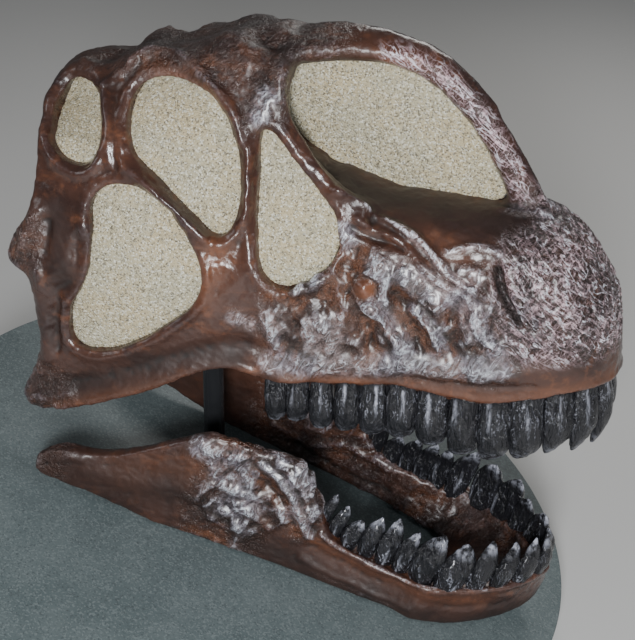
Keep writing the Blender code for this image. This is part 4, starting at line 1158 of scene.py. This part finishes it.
def grow_tooth(bm, layer, place, sections, side, rng):
    """One spoon-shaped crown, pointing up or down by the sign of its length."""
    centre, along, pitch, length, number = place
    outward = Vector((-along.y, along.x, 0))
    mirror = Vector((1, -side, 1))
    upper = length < 0
    up = Vector((0, 0, math.copysign(1, length)))
    wild = 1.0 if upper else WILD
    size = 1 + rng.uniform(-0.05, 0.04) * wild
    turn = 0.13 + rng.uniform(-0.11, 0.11) * wild
    girth = rng.uniform(0.95, 1.04)
    shade = rng.random()
    wedge = WEDGE * max(1 - number / 6, 0.15) if upper else 0.0
    skew = rng.uniform(-0.06, 0.04) if upper else -rng.uniform(0.12, 0.40)
    if upper and number < 4:
        girth *= 1.07
    along, outward = (along * math.cos(turn) + outward * math.sin(turn),
                      outward * math.cos(turn) - along * math.sin(turn))
    loops = []
    for share, wide, deep, lean in smooth_run(sections, 3, closed=False):
        reach = TOOTH_ROOT * share if share < 0 else abs(length) * share * size
        middle = centre + up * reach + outward * lean * abs(length)
        spoon = max(share, 0) ** 0.5 * (0.5 if upper else 1)
        ring = []
        for a in angles(TOOTH_SIDES):
            out = math.sin(a)
            if out < 0:
                out *= 0.88 - 0.48 * spoon * out ** 4
            slant = wedge * math.cos(a) * max(share - 0.55, 0) / 0.45 * min(wide * 3, 1)
            across = wide * math.cos(a) + skew * max(share - 0.45, 0) / 0.55
            point = middle + along * across * pitch * girth + outward * deep * pitch * out
            vert = bm.verts.new((point + up * slant) * mirror)
            vert[layer] = (max(share, 0), shade, 0.5 + 0.5 * math.cos(a), 1)
            ring.append(vert)
        loops.append(ring)
    close_up(bm, loops)


def teeth(name, row, sections, side, seed):
    """All the teeth of one side of one jaw."""
    rng = random.Random(seed)
    bm = bmesh.new()
    layer = bm.verts.layers.float_color.new("growth")
    for place in row:
        grow_tooth(bm, layer, place, sections, side, rng)
    bmesh.ops.subdivide_edges(bm, edges=bm.edges, cuts=1, use_grid_fill=True)
    made = add_mesh(name, bm)
    points, normals = read_mesh(made)
    height = 0.00085 * ripple(points * (1, 1, 0.14), 0.0048, seed, 2)
    height += 0.00060 * ripple(points, 0.0075, seed + 7, 2)
    swell(made, points, normals, height)
    return made


# ---- Stand ----------------------------------------------------------------
def turned(name, profile, sides, height=None):
    """A body turned round Z from (radius, z) points; height may bend each ring."""
    rings = []
    for radius, z in profile:
        ring = [(radius * math.cos(a), radius * math.sin(a)) for a in angles(sides)]
        rings.append([(x, y, height(x, z) if height else z) for x, y in ring])
    return skin(rings, name)


def board():
    """Round top of the plinth in the slope's frame, with a fine line under its face."""
    radius, edge, groove = DISC_RADIUS, 0.0015, 0.0005
    quarter = [math.pi / 2 * i / 5 for i in range(6)]
    profile = [(radius - edge + edge * math.sin(a), -DISC_THICK + edge - edge * math.cos(a))
               for a in quarter]
    profile += [(radius, -0.0036), (radius - groove, -0.0032), (radius - groove, -0.0026),
                (radius, -0.0022)]
    profile += [(radius - edge + edge * math.cos(a), -edge + edge * math.sin(a)) for a in quarter]
    made = turned("plinth_board", profile, 256)
    made.data.transform(Matrix.Translation((DISC_X, 0, 0)))
    return made


def slope_height(x):
    """Height of the plinth's sloping top in the skull's frame."""
    return SLOPE_Z - math.tan(SLOPE) * x


def drum():
    """Round upright plinth under the board, cut to its slope, with two closed seams."""
    centre = DISC_X * math.cos(SLOPE)
    seam, seam_depth, edge, count = 0.0022, 0.0012, 0.0015, 240
    around = []
    for k, a in enumerate(angles(count)):
        at_seam = k % (count // 2) == count // 4
        around += [a - seam / DRUM_RADIUS, a, a + seam / DRUM_RADIUS] if at_seam else [a]
    rings = []
    for inset, share, lift in ((edge, 0, 0), (0, 0, edge), (0, 0.5, 0), (0, 1, -edge),
                               (edge, 1, 0)):
        ring = []
        for a in around:
            at_seam = any(abs(a - math.pi * s) < 1e-6 for s in (0.5, 1.5))
            r = DRUM_RADIUS - inset - (seam_depth if at_seam else 0)
            x, y = centre + r * math.cos(a), r * math.sin(a)
            top = slope_height(x) - (DISC_THICK + GAP) / math.cos(SLOPE)
            ring.append((x, y, FLOOR_Z + (top - FLOOR_Z) * share + lift))
        rings.append(ring)
    return skin(rings, "plinth_body")


def rod():
    """Upright rod that carries the skull, its foot cut to the slope."""
    def bend(x, z):
        return slope_height(x + POST_X) + GAP if z < 0 else z
    top = POST_TOP - SADDLE_THICK
    profile = [(POST_RADIUS, -1), (POST_RADIUS, 0), (POST_RADIUS, top * 0.5),
               (POST_RADIUS, top - 0.0012), (POST_RADIUS - 0.0004, top - 0.0004),
               (POST_RADIUS - 0.0012, top)]
    made = turned("rod", profile, 64, bend)
    made.data.transform(Matrix.Translation((POST_X, 0, 0)))
    return made


def collar():
    """Ring round the rod's foot with rounded edges."""
    low, high, inner, edge = GAP, COLLAR_THICK, POST_RADIUS + 0.0002, 0.0012
    bm = bmesh.new()
    profile = [(inner, low), (COLLAR_RADIUS, low), (COLLAR_RADIUS, high - edge),
               (COLLAR_RADIUS - edge * 0.3, high - edge * 0.3), (COLLAR_RADIUS - edge, high),
               (inner + 0.0006, high), (inner, high - 0.0006)]
    loops = []
    for a in angles(96):
        spots = [(POST_X + r * math.cos(a), r * math.sin(a), z) for r, z in profile]
        loops.append([bm.verts.new((x, y, slope_height(x) + z / math.cos(SLOPE)))
                      for x, y, z in spots])
    for first, second in zip(loops, loops[1:] + loops[:1]):
        for i in range(len(profile)):
            j = (i + 1) % len(profile)
            bm.faces.new((first[i], second[i], second[j], first[j]))
    return add_mesh("rod_collar", bm)


def saddle():
    """Small plate on the rod that the cranium sits on, its corners rounded."""
    low, high, corner, edge = POST_TOP - SADDLE_THICK + GAP, POST_TOP, 0.006, 0.001
    outline = []
    for cx, cy, start in ((1, 1, 0), (-1, 1, 90), (-1, -1, 180), (1, -1, 270)):
        for step in range(7):
            a = math.radians(start + 15 * step)
            outline.append((
                POST_X + cx * (SADDLE_HALF_LENGTH - corner) + corner * math.cos(a),
                cy * (SADDLE_HALF_WIDTH - corner) + corner * math.sin(a)))
    rings = []
    for inset, z in ((edge, low), (0, low + edge), (0, high - edge), (edge, high)):
        rings.append([(x, y, z) for x, y in offset_loop(outline, -inset)])
    return skin(rings, "rod_plate")


# ---- Finishes -------------------------------------------------------------
class Shade:
    """A material's socket that takes part in Python arithmetic."""

    def __init__(self, finish, socket):
        self.finish, self.socket = finish, socket

    def __add__(self, other):
        return self.finish.maths("ADD", self, other)

    __radd__ = __add__

    def __mul__(self, other):
        return self.finish.maths("MULTIPLY", self, other)

    __rmul__ = __mul__

    def __sub__(self, other):
        return self.finish.maths("SUBTRACT", self, other)

    def __rsub__(self, other):
        return self.finish.maths("SUBTRACT", other, self)

    def __pow__(self, other):
        return self.finish.maths("POWER", self, other)

    def least(self, limit):
        """The value, but not more than the limit."""
        return self.finish.maths("MINIMUM", self, limit)

    def rise(self, low, high):
        """0 below low, 1 above high and smooth between them."""
        made = self.finish.node("ShaderNodeMapRange", {"interpolation_type": "SMOOTHSTEP"}, {
            "Value": self, "From Min": low, "From Max": high})
        return self.finish.out(made, "Result")


class Finish:
    """A procedural material and the nodes that feed its shader."""

    def __init__(self, name):
        self.material = bpy.data.materials.new(name)
        self.material.use_nodes = True
        self.tree = self.material.node_tree
        self.shader = self.tree.nodes["Principled BSDF"]
        self.where = self.out(self.node("ShaderNodeTexCoord"), "Object")

    def node(self, kind, settings=None, sockets=None):
        """A node of that type, its settings made first and its sockets filled or linked."""
        made = self.tree.nodes.new(kind)
        for key, value in (settings or {}).items():
            setattr(made, key, value)
        for key, value in (sockets or {}).items():
            self.feed(made.inputs[key], value)
        return made

    def feed(self, socket, value):
        if isinstance(value, Shade):
            self.tree.links.new(value.socket, socket)
        else:
            socket.default_value = value

    def out(self, made, key=0):
        return Shade(self, made.outputs[key])

    def maths(self, operation, *values):
        made = self.node("ShaderNodeMath", {"operation": operation}, dict(enumerate(values)))
        return self.out(made)

    def scaled(self, factors, where=None):
        """Object coordinates stretched along each axis."""
        made = self.node("ShaderNodeVectorMath", {"operation": "MULTIPLY"}, {
            0: where or self.where, 1: factors})
        return self.out(made, "Vector")

    def turned(self, turns, factors):
        """Object coordinates turned about the axes and then stretched along them."""
        made = self.node("ShaderNodeMapping", {"vector_type": "POINT"}, {
            "Vector": self.where, "Rotation": turns})
        return self.scaled(factors, self.out(made, "Vector"))

    def noise(self, scale, detail=4, rough=0.55, twist=0.0, where=None):
        made = self.node("ShaderNodeTexNoise", None, {
            "Vector": where or self.where, "Scale": scale, "Detail": detail, "Roughness": rough,
            "Distortion": twist})
        return self.out(made, "Fac")

    def crease(self, scale, detail=2, twist=0.0, where=None):
        """Thin winding lines: 1 along each line and 0 between them."""
        wave = self.noise(scale, detail, 0.5, twist, where)
        return 1 - (self.maths("ABSOLUTE", wave - 0.5) * 7.0).least(1.0)

    def grains(self, scale, output="Distance"):
        made = self.node("ShaderNodeTexVoronoi", None, {"Vector": self.where, "Scale": scale})
        return self.out(made, output)

    def parts(self, colour):
        """The red, green and blue parts of a colour."""
        made = self.node("ShaderNodeSeparateColor", None, {"Color": colour})
        return [self.out(made, key) for key in ("Red", "Green", "Blue")]

    def stored(self, name):
        """The three parts of a field stored on the mesh."""
        layer = self.node("ShaderNodeAttribute", {"attribute_name": name})
        return self.parts(self.out(layer, "Color"))

    def tint(self, factor, first, second):
        """The second colour over the first by a factor."""
        made = self.node("ShaderNodeMix", {"data_type": "RGBA"})
        for index, value in ((0, factor), (6, first), (7, second)):
            if not isinstance(value, Shade) and index:
                value = (*value, 1)
            self.feed(made.inputs[index], value)
        return self.out(made, 2)

    def bump(self, height, strength, distance, under=None):
        sockets = {"Height": height, "Strength": strength, "Distance": distance}
        if under:
            sockets["Normal"] = under
        return self.out(self.node("ShaderNodeBump", None, sockets), "Normal")

    def shade(self, **sockets):
        """Fill the shader's sockets; the words are the sockets' names with underscores."""
        for key, value in sockets.items():
            name = key.replace("_", " ")
            if isinstance(value, tuple) and len(value) == 3:
                value = (*value, 1)
            self.feed(self.shader.inputs[name], value)
        return self.material


def bone_finish(name, cast):
    """Dark red-brown stain under gloss varnish, washed in the hollows and brushed on the crests,
    with a painted sheen and painted glints in the pale brushing and painted shade in the dark
    places.
    """
    finish = Finish(name)
    stand, rough, warm = finish.stored("carving")
    pale, tip, dark = finish.stored("brush_sheen_shade")
    blotch = finish.noise(16, 5, 0.6, 0.4)
    mottle = finish.noise(75, 5, 0.62)
    fleck = finish.noise(330, 3, 0.6)
    streak = finish.noise(46, 4, 0.6, where=finish.scaled((0.35, 1, 1.6)))
    folds = finish.crease(130, 3, 1.2)
    fibre = finish.crease(125, 3, 1.1, where=finish.turned((0, -0.5, 0), (1.0, 1.0, 0.36)))
    cover = (pale * 1.10 + (mottle - 0.5) * 0.7).rise(0.16, 0.80)
    worm = finish.crease(210, 2, 1.5)
    colour = finish.tint(blotch.rise(0.36, 0.64), cast.stain_dark, cast.stain)
    clear = 1 - dark
    orange = warm * 0.95 + mottle.rise(0.50, 0.72) * 0.42 + streak.rise(0.55, 0.75) * 0.30
    orange = orange * (0.45 + fleck * 0.9) * clear
    colour = finish.tint(orange.least(0.9), colour, cast.ochre)
    hollow = (1 - stand).rise(0.52, 0.92)
    # Wash in the hollows, and the dark places, which are partly painted shade.
    colour = finish.tint((hollow * 0.85 + dark * 0.6).least(0.92), colour, cast.wash)
    crest = stand.rise(0.54, 0.88) * (0.10 + rough * 0.55) * fleck.rise(0.38, 0.60)
    lines = fibre.rise(0.15, 0.80) * 0.75 + folds.rise(0.30, 0.9) * 0.35
    # Painted sheen: lilac-grey and pink laid over the folds where the varnish would catch the
    # light, with dry brush on the crests.
    sheen_veil = cover * (0.08 + lines * 0.60) * (0.50 + stand * 0.75)
    blush_and_sheen = finish.tint(blotch.rise(0.42, 0.58), cast.pale_brush_and_sheen, cast.blush_and_sheen)
    colour = finish.tint(((crest * 0.5 + sheen_veil) * clear).least(0.92), colour, blush_and_sheen)
    # Painted glints: bluish white on the sharp folds of the pale brushing.
    painted_fold_glint = cover * stand.rise(0.40, 0.76) * (fibre.rise(0.58, 0.92) + worm.rise(0.75, 1.0) * 0.5)
    colour = finish.tint((painted_fold_glint * clear * 0.9).least(0.95), colour, cast.painted_glint)
    scratch = finish.crease(70, 3, 0.8, where=finish.turned((0, -0.7, 0), (0.8, 1.0, 3.0)))
    nick = finish.crease(85, 3, 1.0, where=finish.turned((0, 0.9, 0), (0.8, 1.0, 2.6)))
    strokes = scratch.rise(0.62, 0.92) * 0.95 + nick.rise(0.68, 0.94) * 0.65
    strokes = strokes + worm.rise(0.78, 0.97) * 0.3
    rub = tip * strokes * (stand * 1.25) * clear * (0.35 + blotch.rise(0.30, 0.55) * 0.60)
    colour = finish.tint(rub.least(0.92), colour, cast.dry_brush)
    # Painted glints on the snout's tip.
    gleam = tip * scratch.rise(0.70, 0.95) * stand.rise(0.36, 0.62) * mottle.rise(0.42, 0.58)
    colour = finish.tint((gleam * clear).least(0.9), colour, cast.painted_glint)
    relief = finish.bump(fleck * 0.4 + finish.noise(900, 2) * 0.15 + mottle * 0.8, 0.5, 0.0012)
    brushed = rough + pale
    wrinkle = fibre * brushed * 0.7 + folds * (rough * 0.6 + pale * 0.4) + worm * brushed * 0.3
    wrinkle = finish.bump(wrinkle + (scratch + nick) * tip * 0.4, 1.0, 0.0024, relief)
    rough_gloss = cast.gloss + mottle * 0.10 + hollow * 0.20 + rub * 0.1 + dark * 0.34
    coat = (0.12 + pale * 0.95 + rough * 0.35).least(1.0) * (1 - hollow * 0.5) * clear
    return finish.shade(
        Base_Color=colour, Roughness=rough_gloss, Normal=wrinkle, Coat_Weight=coat,
        Coat_Roughness=0.34, Coat_IOR=1.75, Specular_IOR_Level=0.50)


def tooth_finish(name, settings, worn):
    """Near-black enamel under gloss, streaked along the crown, paler where the tip is worn, with
    painted highlight streaks and painted glints on the upper crown.
    """
    finish = Finish(name)
    share, shade, around = finish.stored("growth")
    along = finish.noise(150, 5, 0.65, 0.3, where=finish.scaled((1, 1, 0.22)))
    fine = finish.noise(420, 3, 0.6)
    lines = finish.crease(190, 3, 0.6, where=finish.scaled((1, 1, 0.30)))
    colour = finish.tint(along.rise(0.45, 0.75) * 0.7, settings.enamel, settings.streak)
    colour = finish.tint(shade * 0.2, colour, settings.streak)
    edge = share.rise(0.72, 1.0) * finish.noise(120, 4, 0.6).rise(0.38, 0.66)
    # Painted glints and a painted highlight streak near the top of each crown.
    shine = share.rise(0.0, 0.12) * (1 - share.rise(0.30, 0.80)) * along.rise(0.44, 0.62)
    glints = lines.rise(0.60, 0.95) * shine * fine.rise(0.42, 0.58) * (0.1 + shade * 0.4)
    aside = finish.maths("ABSOLUTE", around - 0.78 - along * 0.14 + shade * 0.42)
    highlight_stripe = 1 - (aside * 11.0).least(1.0)
    highlight_stripe = highlight_stripe * share.rise(0.0, 0.08) * (1 - share.rise(0.18, 0.63)) * along.rise(0.42, 0.58)
    highlight_stripe = highlight_stripe * (0.35 + shade * 0.65) * (1 - worn * 0.6)
    # Worn tip together with the painted highlights.
    tip = (edge * worn + glints + highlight_stripe * 0.9).least(0.9)
    colour = finish.tint(tip, colour, settings.worn)
    bump = finish.bump(along * 1.6 + fine * 0.25 + lines * 0.6, 0.9, 0.0022)
    return finish.shade(
        Base_Color=colour, Roughness=0.14 + fine * 0.14 + tip * 0.12, Normal=bump, Coat_Weight=0.3,
        Coat_Roughness=0.05, Specular_IOR_Level=0.36)


def sand_finish(name, panels):
    """Fine sand set in a pale beige ground."""
    finish = Finish(name)
    pick, pick_dark, _ = finish.parts(finish.grains(720, "Color"))
    patch = finish.noise(24, 4, 0.6)
    grit = finish.noise(900, 3, 0.7)
    colour = finish.tint(patch.rise(0.35, 0.68), panels.sand, panels.sand_warm)
    colour = finish.tint(pick.rise(0.62, 0.92) * 0.9, colour, panels.light_grain)
    colour = finish.tint(pick_dark.rise(0.62, 0.90) * grit.rise(0.36, 0.55) * 0.9, colour,
                         panels.dark_grain)
    lumps = grit * 0.9 - finish.grains(720)
    return finish.shade(
        Base_Color=colour, Roughness=0.78 + grit * 0.15, Normal=finish.bump(lumps, 0.9, 0.0014),
        Specular_IOR_Level=0.35)


def laminate_finish(name, stand):
    """Grey-green laminate with a fine speckle."""
    finish = Finish(name)
    pick, pick_dark, _ = finish.parts(finish.grains(620, "Color"))
    cloud = finish.noise(9, 4, 0.6)
    grit = finish.noise(420, 4, 0.75)
    colour = finish.tint(cloud.rise(0.3, 0.7) * 0.35, stand.laminate, stand.laminate_light)
    colour = finish.tint(pick.rise(0.55, 0.95) * 0.55, colour, stand.laminate_light)
    colour = finish.tint(pick_dark.rise(0.60, 0.95) * grit.rise(0.40, 0.60) * 0.7, colour,
                         stand.laminate_dark)
    return finish.shade(
        Base_Color=colour, Roughness=0.42 + grit * 0.16, Normal=finish.bump(grit, 0.18, 0.0006))


def paint_finish(name, colour, roughness, grain, depth):
    """Brushed or sprayed paint with a faint texture and small changes of gloss."""
    finish = Finish(name)
    fine = finish.noise(grain, 4, 0.6)
    broad = finish.noise(14, 3)
    tone = finish.tint(broad.rise(0.3, 0.7) * 0.5 + fine * 0.2, [c * 0.82 for c in colour],
                       [min(c * 1.15, 1) for c in colour])
    return finish.shade(
        Base_Color=tone, Roughness=roughness + fine * 0.10 + broad * 0.06,
        Normal=finish.bump(fine, 0.3, depth))


# ---- Settings -------------------------------------------------------------
def colour_of(label, description, value):
    return bpy.props.FloatVectorProperty(
        name=label, description=description, default=value, size=3, subtype="COLOR", min=0, max=1)


class CastSettings(bpy.types.PropertyGroup):
    """Mesh and stain of the bones."""
    grain: bpy.props.FloatProperty(
        name="Grain", description="Edge length of the cast's mesh", default=0.0016, min=0.0010,
        max=0.01, subtype="DISTANCE", unit="LENGTH")
    gloss: bpy.props.FloatProperty(
        name="Gloss", description="Least roughness of the varnish", default=0.17, min=0, max=1,
        subtype="FACTOR")
    stain: colour_of("Stain", "Red-brown of the bone", (0.057, 0.025, 0.017))
    stain_dark: colour_of("Dark stain", "Darker patches of the bone", (0.028, 0.013, 0.010))
    ochre: colour_of("Ochre", "Orange-brown that the stain thins out to", (0.190, 0.070, 0.031))
    wash: colour_of("Wash", "Paint that settles in the hollows", (0.012, 0.008, 0.007))
    # Pale brush and its pink patches: dry-brushed paint that is partly a painted sheen where the
    # varnish would catch the light.
    pale_brush_and_sheen: colour_of("Pale brush and sheen", "Lilac-grey paint over the cheek", (0.440, 0.400, 0.470))
    blush_and_sheen: colour_of("Blush and sheen", "Pinkish patches of the pale brush", (0.500, 0.360, 0.350))
    # Bluish white that stands in for highlights on sharp folds: a painted glint.
    painted_glint: colour_of("Painted glint", "Bluish white on sharp folds", (0.800, 0.850, 0.930))
    dry_brush: colour_of("Dry brush", "Pinkish paint on the snout's tip", (0.860, 0.610, 0.660))


class TeethSettings(bpy.types.PropertyGroup):
    """Enamel of the teeth."""
    enamel: colour_of("Enamel", "Near-black of the teeth", (0.009, 0.009, 0.011))
    streak: colour_of("Streaks", "Paler lines along the crowns", (0.028, 0.028, 0.033))
    # Colour of the worn tips, also used for the painted highlights on the crowns.
    worn: colour_of("Worn tip and glint", "Colour where a tip is worn", (0.600, 0.620, 0.720))


class PanelSettings(bpy.types.PropertyGroup):
    """Sand of the panels that close the openings."""
    sand: colour_of("Sand", "Ground colour", (0.470, 0.425, 0.292))
    sand_warm: colour_of("Warm sand", "Warmer patches", (0.535, 0.447, 0.276))
    light_grain: colour_of("Light grains", "Pale grains", (0.760, 0.740, 0.620))
    dark_grain: colour_of("Dark grains", "Dark grains", (0.120, 0.105, 0.075))


class StandSettings(bpy.types.PropertyGroup):
    """Colours of the plinth and its rod."""
    laminate: colour_of("Laminate", "Ground colour of the plinth's top", (0.084, 0.110, 0.113))
    laminate_light: colour_of("Light speckle", "Pale specks in it", (0.200, 0.235, 0.235))
    laminate_dark: colour_of("Dark speckle", "Dark specks in it", (0.050, 0.062, 0.066))
    drum: colour_of("Plinth", "Paint of the plinth's side", (0.150, 0.180, 0.182))
    rod: colour_of("Rod", "Paint of the rod, its collar and its plate", (0.018, 0.019, 0.021))


class StageSettings(bpy.types.PropertyGroup):
    """Floor, light and camera."""
    floor: colour_of("Floor", "Colour of the floor", (0.620, 0.615, 0.600))
    key: bpy.props.FloatProperty(
        name="Key light", description="Power of the key light", default=47.0, min=0, unit="POWER")
    fill: bpy.props.FloatProperty(
        name="Fill light", description="Power of the fill light", default=16.0, min=0, unit="POWER")
    sky: bpy.props.FloatProperty(
        name="Room light", description="Strength of the light from all round", default=0.13, min=0)
    lens: bpy.props.FloatProperty(
        name="Lens", description="Focal length of the camera in millimetres", default=85.04, min=10)


SETTINGS = {"skull_cast": CastSettings, "skull_teeth": TeethSettings, "skull_panels": PanelSettings,
            "skull_stand": StandSettings, "skull_stage": StageSettings}


# ---- Building -------------------------------------------------------------
def settle(piece, place, nodes, material, sharp=None):
    """Move a finished piece into its frame, give it its finish, attach it to the root and hide the
    parts it stands for.
    """
    piece.data.transform(place)
    piece.data.materials.clear()
    piece.data.materials.append(material)
    piece.data.shade_smooth()
    if sharp:
        piece.data.set_sharp_from_angle(angle=math.radians(sharp))
    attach(piece, "root")
    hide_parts(*nodes)
    return piece


def of_both_sides(names):
    return [f"{name}_{side}" for name in names for side in SIDES]


class SKULL_OT_cranium(bpy.types.Operator):
    """Build the cranium, the bones of both sides as one carved skin"""
    bl_idname = "skull_cast.cranium"
    bl_label = "Cranium"

    def execute(self, context):
        cast = context.scene.skull_cast
        made = cranium_blank()
        carve_cranium(made)
        for place in OPENINGS:
            for side in SIDES.values():
                cut(made, opening_prism(place, 0, side))
        cut(made, side_prism(smooth_run(NARIS_PANEL, 5), -NARIS_PANEL_HALF, NARIS_PANEL_HALF))
        cut(made, vault_body(WALL, ROOF, INNER_SPAN[0], CASE_FRONT_X))
        melt(made, cast.grain, 2)
        grain_cranium(made)
        settle(made, SKULL_PLACE, of_both_sides(BONES),
               bone_finish("stained_bone", cast))
        return {"FINISHED"}


class SKULL_OT_braincase(bpy.types.Operator):
    """Build the braincase, the back plate and the palate's bones"""
    bl_idname = "skull_cast.braincase"
    bl_label = "Braincase"

    def execute(self, context):
        made = braincase_body()
        settle(made, SKULL_PLACE, ["braincase"],
               bone_finish("stained_braincase", context.scene.skull_cast))
        return {"FINISHED"}


class SKULL_OT_panels(bpy.types.Operator):
    """Build the sanded panels that close the openings"""
    bl_idname = "skull_cast.panels"
    bl_label = "Sanded panels"

    def execute(self, context):
        finish = sand_finish("sanded_panel", context.scene.skull_panels)
        made = [sand_panel(place, side) for place in OPENINGS for side in SIDES]
        made.append(nostril_panel())
        for seed, panel in enumerate(made):
            roughen_panel(panel, 100 + 9 * seed)
            node = panel.name.replace("sand", "panel")
            settle(panel, SKULL_PLACE, [node], finish, 50)
        return {"FINISHED"}


class SKULL_OT_upper_teeth(bpy.types.Operator):
    """Build the teeth of the upper jaw"""
    bl_idname = "skull_cast.upper_teeth"
    bl_label = "Upper teeth"

    def execute(self, context):
        finish = tooth_finish("upper_enamel", context.scene.skull_teeth, 0.25)
        for label, side in SIDES.items():
            made = teeth(f"upper_teeth_{label}", upper_row(), UPPER_TOOTH, side, UPPER_SEED + side)
            nodes = [f"premaxilla_{label}", f"maxilla_{label}"]
            settle(made, SKULL_PLACE, nodes, finish)
        return {"FINISHED"}


class SKULL_OT_lower_jaw(bpy.types.Operator):
    """Build the lower jaw, both its branches and the chin"""
    bl_idname = "skull_cast.lower_jaw"
    bl_label = "Lower jaw"

    def execute(self, context):
        made = jaw_blank()
        carve_jaw(made)
        settle(made, SLOPE_PLACE, of_both_sides(JAW_BONES),
               bone_finish("stained_jaw", context.scene.skull_cast))
        return {"FINISHED"}


class SKULL_OT_lower_teeth(bpy.types.Operator):
    """Build the teeth of the lower jaw"""
    bl_idname = "skull_cast.lower_teeth"
    bl_label = "Lower teeth"

    def execute(self, context):
        finish = tooth_finish("lower_enamel", context.scene.skull_teeth, 0.75)
        for label, side in SIDES.items():
            made = teeth(f"lower_teeth_{label}", lower_row(), LOWER_TOOTH, side, LOWER_SEED + side)
            settle(made, SLOPE_PLACE, [f"dentary_{label}"], finish)
        return {"FINISHED"}


class SKULL_OT_plinth(bpy.types.Operator):
    """Build the round plinth and its sloping top"""
    bl_idname = "skull_cast.plinth"
    bl_label = "Plinth"

    def execute(self, context):
        stand = context.scene.skull_stand
        settle(board(), SLOPE_PLACE, ["plinth_top"],
               laminate_finish("speckled_laminate", stand), 30)
        settle(drum(), SKULL_PLACE, ["plinth_drum"],
               paint_finish("plinth_paint", stand.drum, 0.42, 260, 0.0005), 30)
        return {"FINISHED"}


class SKULL_OT_rod(bpy.types.Operator):
    """Build the rod with its collar and the plate that carries the cranium"""
    bl_idname = "skull_cast.rod"
    bl_label = "Rod"

    def execute(self, context):
        finish = paint_finish("black_paint", context.scene.skull_stand.rod, 0.16, 180, 0.0004)
        for made, node in ((rod(), "post"), (collar(), "post_collar"), (saddle(), "saddle")):
            settle(made, SKULL_PLACE, [node], finish, 35)
        return {"FINISHED"}


AIM = (0.05, -0.05, 0.36)
# Lights: name, place, size, share of the key's or the fill's power, colour.
LIGHTS = (
    ("low key", (0.66, -1.95, 0.78), (0.20, 0.20), "key", 0.22, (1, 1, 1)),
    ("key", (0.52, -1.90, 1.14), (0.30, 0.30), "key", 1.0, (0.95, 0.97, 1.0)),
    ("fill", (-1.70, -1.00, 1.55), (0.8, 0.8), "fill", 0.40, (0.93, 0.96, 1.0)),
    ("side", (1.60, -0.60, 1.30), (0.5, 0.8), "fill", 0.35, (0.95, 0.97, 1.0)),
    ("back", (0.20, 1.70, 1.60), (1.0, 0.6), "fill", 0.75, (1.0, 0.98, 0.95)),
)
FLOOR_REACH = 9.0
CAMERA_TURN = (16.54, 28.88, 1.33)  # round the skull, above it, and clockwise about its line
CAMERA_AWAY = 1.446


class SKULL_OT_stage(bpy.types.Operator):
    """Set the floor, the lights and the camera"""
    bl_idname = "skull_cast.stage"
    bl_label = "Stage"

    def execute(self, context):
        stage = context.scene.skull_stage
        mesh = bpy.data.meshes.new("floor")
        mesh.from_pydata([(x * FLOOR_REACH, y * FLOOR_REACH, 0)
                          for x, y in ((-1, -1), (1, -1), (1, 1), (-1, 1))], [], [(0, 1, 2, 3)])
        floor = put("floor", mesh)
        finish = Finish("pale_floor")
        cloud = finish.noise(3, 3)
        tone = finish.tint(cloud * 0.3, stage.floor, [c * 0.93 for c in stage.floor])
        mesh.materials.append(finish.shade(Base_Color=tone, Roughness=0.75))
        for name, spot, size, source, share, colour in LIGHTS:
            light = bpy.data.lights.new(name, "AREA")
            light.shape = "RECTANGLE"
            light.size, light.size_y = size
            light.energy, light.color = getattr(stage, source) * share, colour
            made = put(name, light)
            made.location = spot
            made.rotation_euler = (Vector(AIM) - Vector(spot)).to_track_quat("-Z", "Y").to_euler()
        world = bpy.data.worlds.new("room")
        world.use_nodes = True
        sky = world.node_tree.nodes["Background"].inputs
        sky["Color"].default_value = (0.86, 0.89, 0.92, 1)
        sky["Strength"].default_value = stage.sky
        context.scene.world = world
        self.set_camera(context, stage)
        return {"FINISHED"}

    def set_camera(self, context, stage):
        """A long lens from the right and above, turned a little clockwise."""
        around, above, roll = (math.radians(angle) for angle in CAMERA_TURN)
        back = Vector((math.sin(around) * math.cos(above), -math.cos(around) * math.cos(above),
                       math.sin(above)))
        level = Vector((math.cos(around), math.sin(around), 0))
        rise = back.cross(level)
        right = level * math.cos(roll) + rise * math.sin(roll)
        up = rise * math.cos(roll) - level * math.sin(roll)
        camera = bpy.data.cameras.new("camera")
        camera.sensor_fit, camera.sensor_width, camera.lens = "HORIZONTAL", 36, stage.lens
        camera.clip_start, camera.clip_end = 0.05, 50
        made = put("camera", camera)
        made.matrix_world = (Matrix.Translation(SKULL_PLACE.translation + back * CAMERA_AWAY)
                             @ Matrix((right, up, back)).transposed().to_4x4())
        context.scene.camera = made


class SKULL_PT_cast(bpy.types.Panel):
    """Lists the pieces of the skull cast and their settings"""
    bl_label = "Skull cast"
    bl_idname = "SKULL_PT_cast"
    bl_space_type = "VIEW_3D"
    bl_region_type = "UI"
    bl_category = "Skull cast"

    def draw(self, context):
        for piece in PIECES:
            self.layout.operator(piece.bl_idname)
        for name, group in SETTINGS.items():
            box = self.layout.box()
            box.label(text=group.__doc__)
            for key in group.__annotations__:
                box.prop(getattr(context.scene, name), key)


PIECES = (SKULL_OT_cranium, SKULL_OT_braincase, SKULL_OT_panels, SKULL_OT_upper_teeth,
          SKULL_OT_lower_jaw, SKULL_OT_lower_teeth, SKULL_OT_plinth, SKULL_OT_rod, SKULL_OT_stage)


def register():
    for made in (*SETTINGS.values(), *PIECES, SKULL_PT_cast):
        bpy.utils.register_class(made)
    for name, group in SETTINGS.items():
        setattr(bpy.types.Scene, name, bpy.props.PointerProperty(type=group))


def unregister():
    for name in SETTINGS:
        delattr(bpy.types.Scene, name)
    for made in (SKULL_PT_cast, *reversed(PIECES), *reversed(SETTINGS.values())):
        bpy.utils.unregister_class(made)


def main():
    """Register the add-on and build every piece in order."""
    register()
    for piece in PIECES:
        family, action = piece.bl_idname.split(".")
        getattr(getattr(bpy.ops, family), action)()


if __name__ == "__main__":
    main()
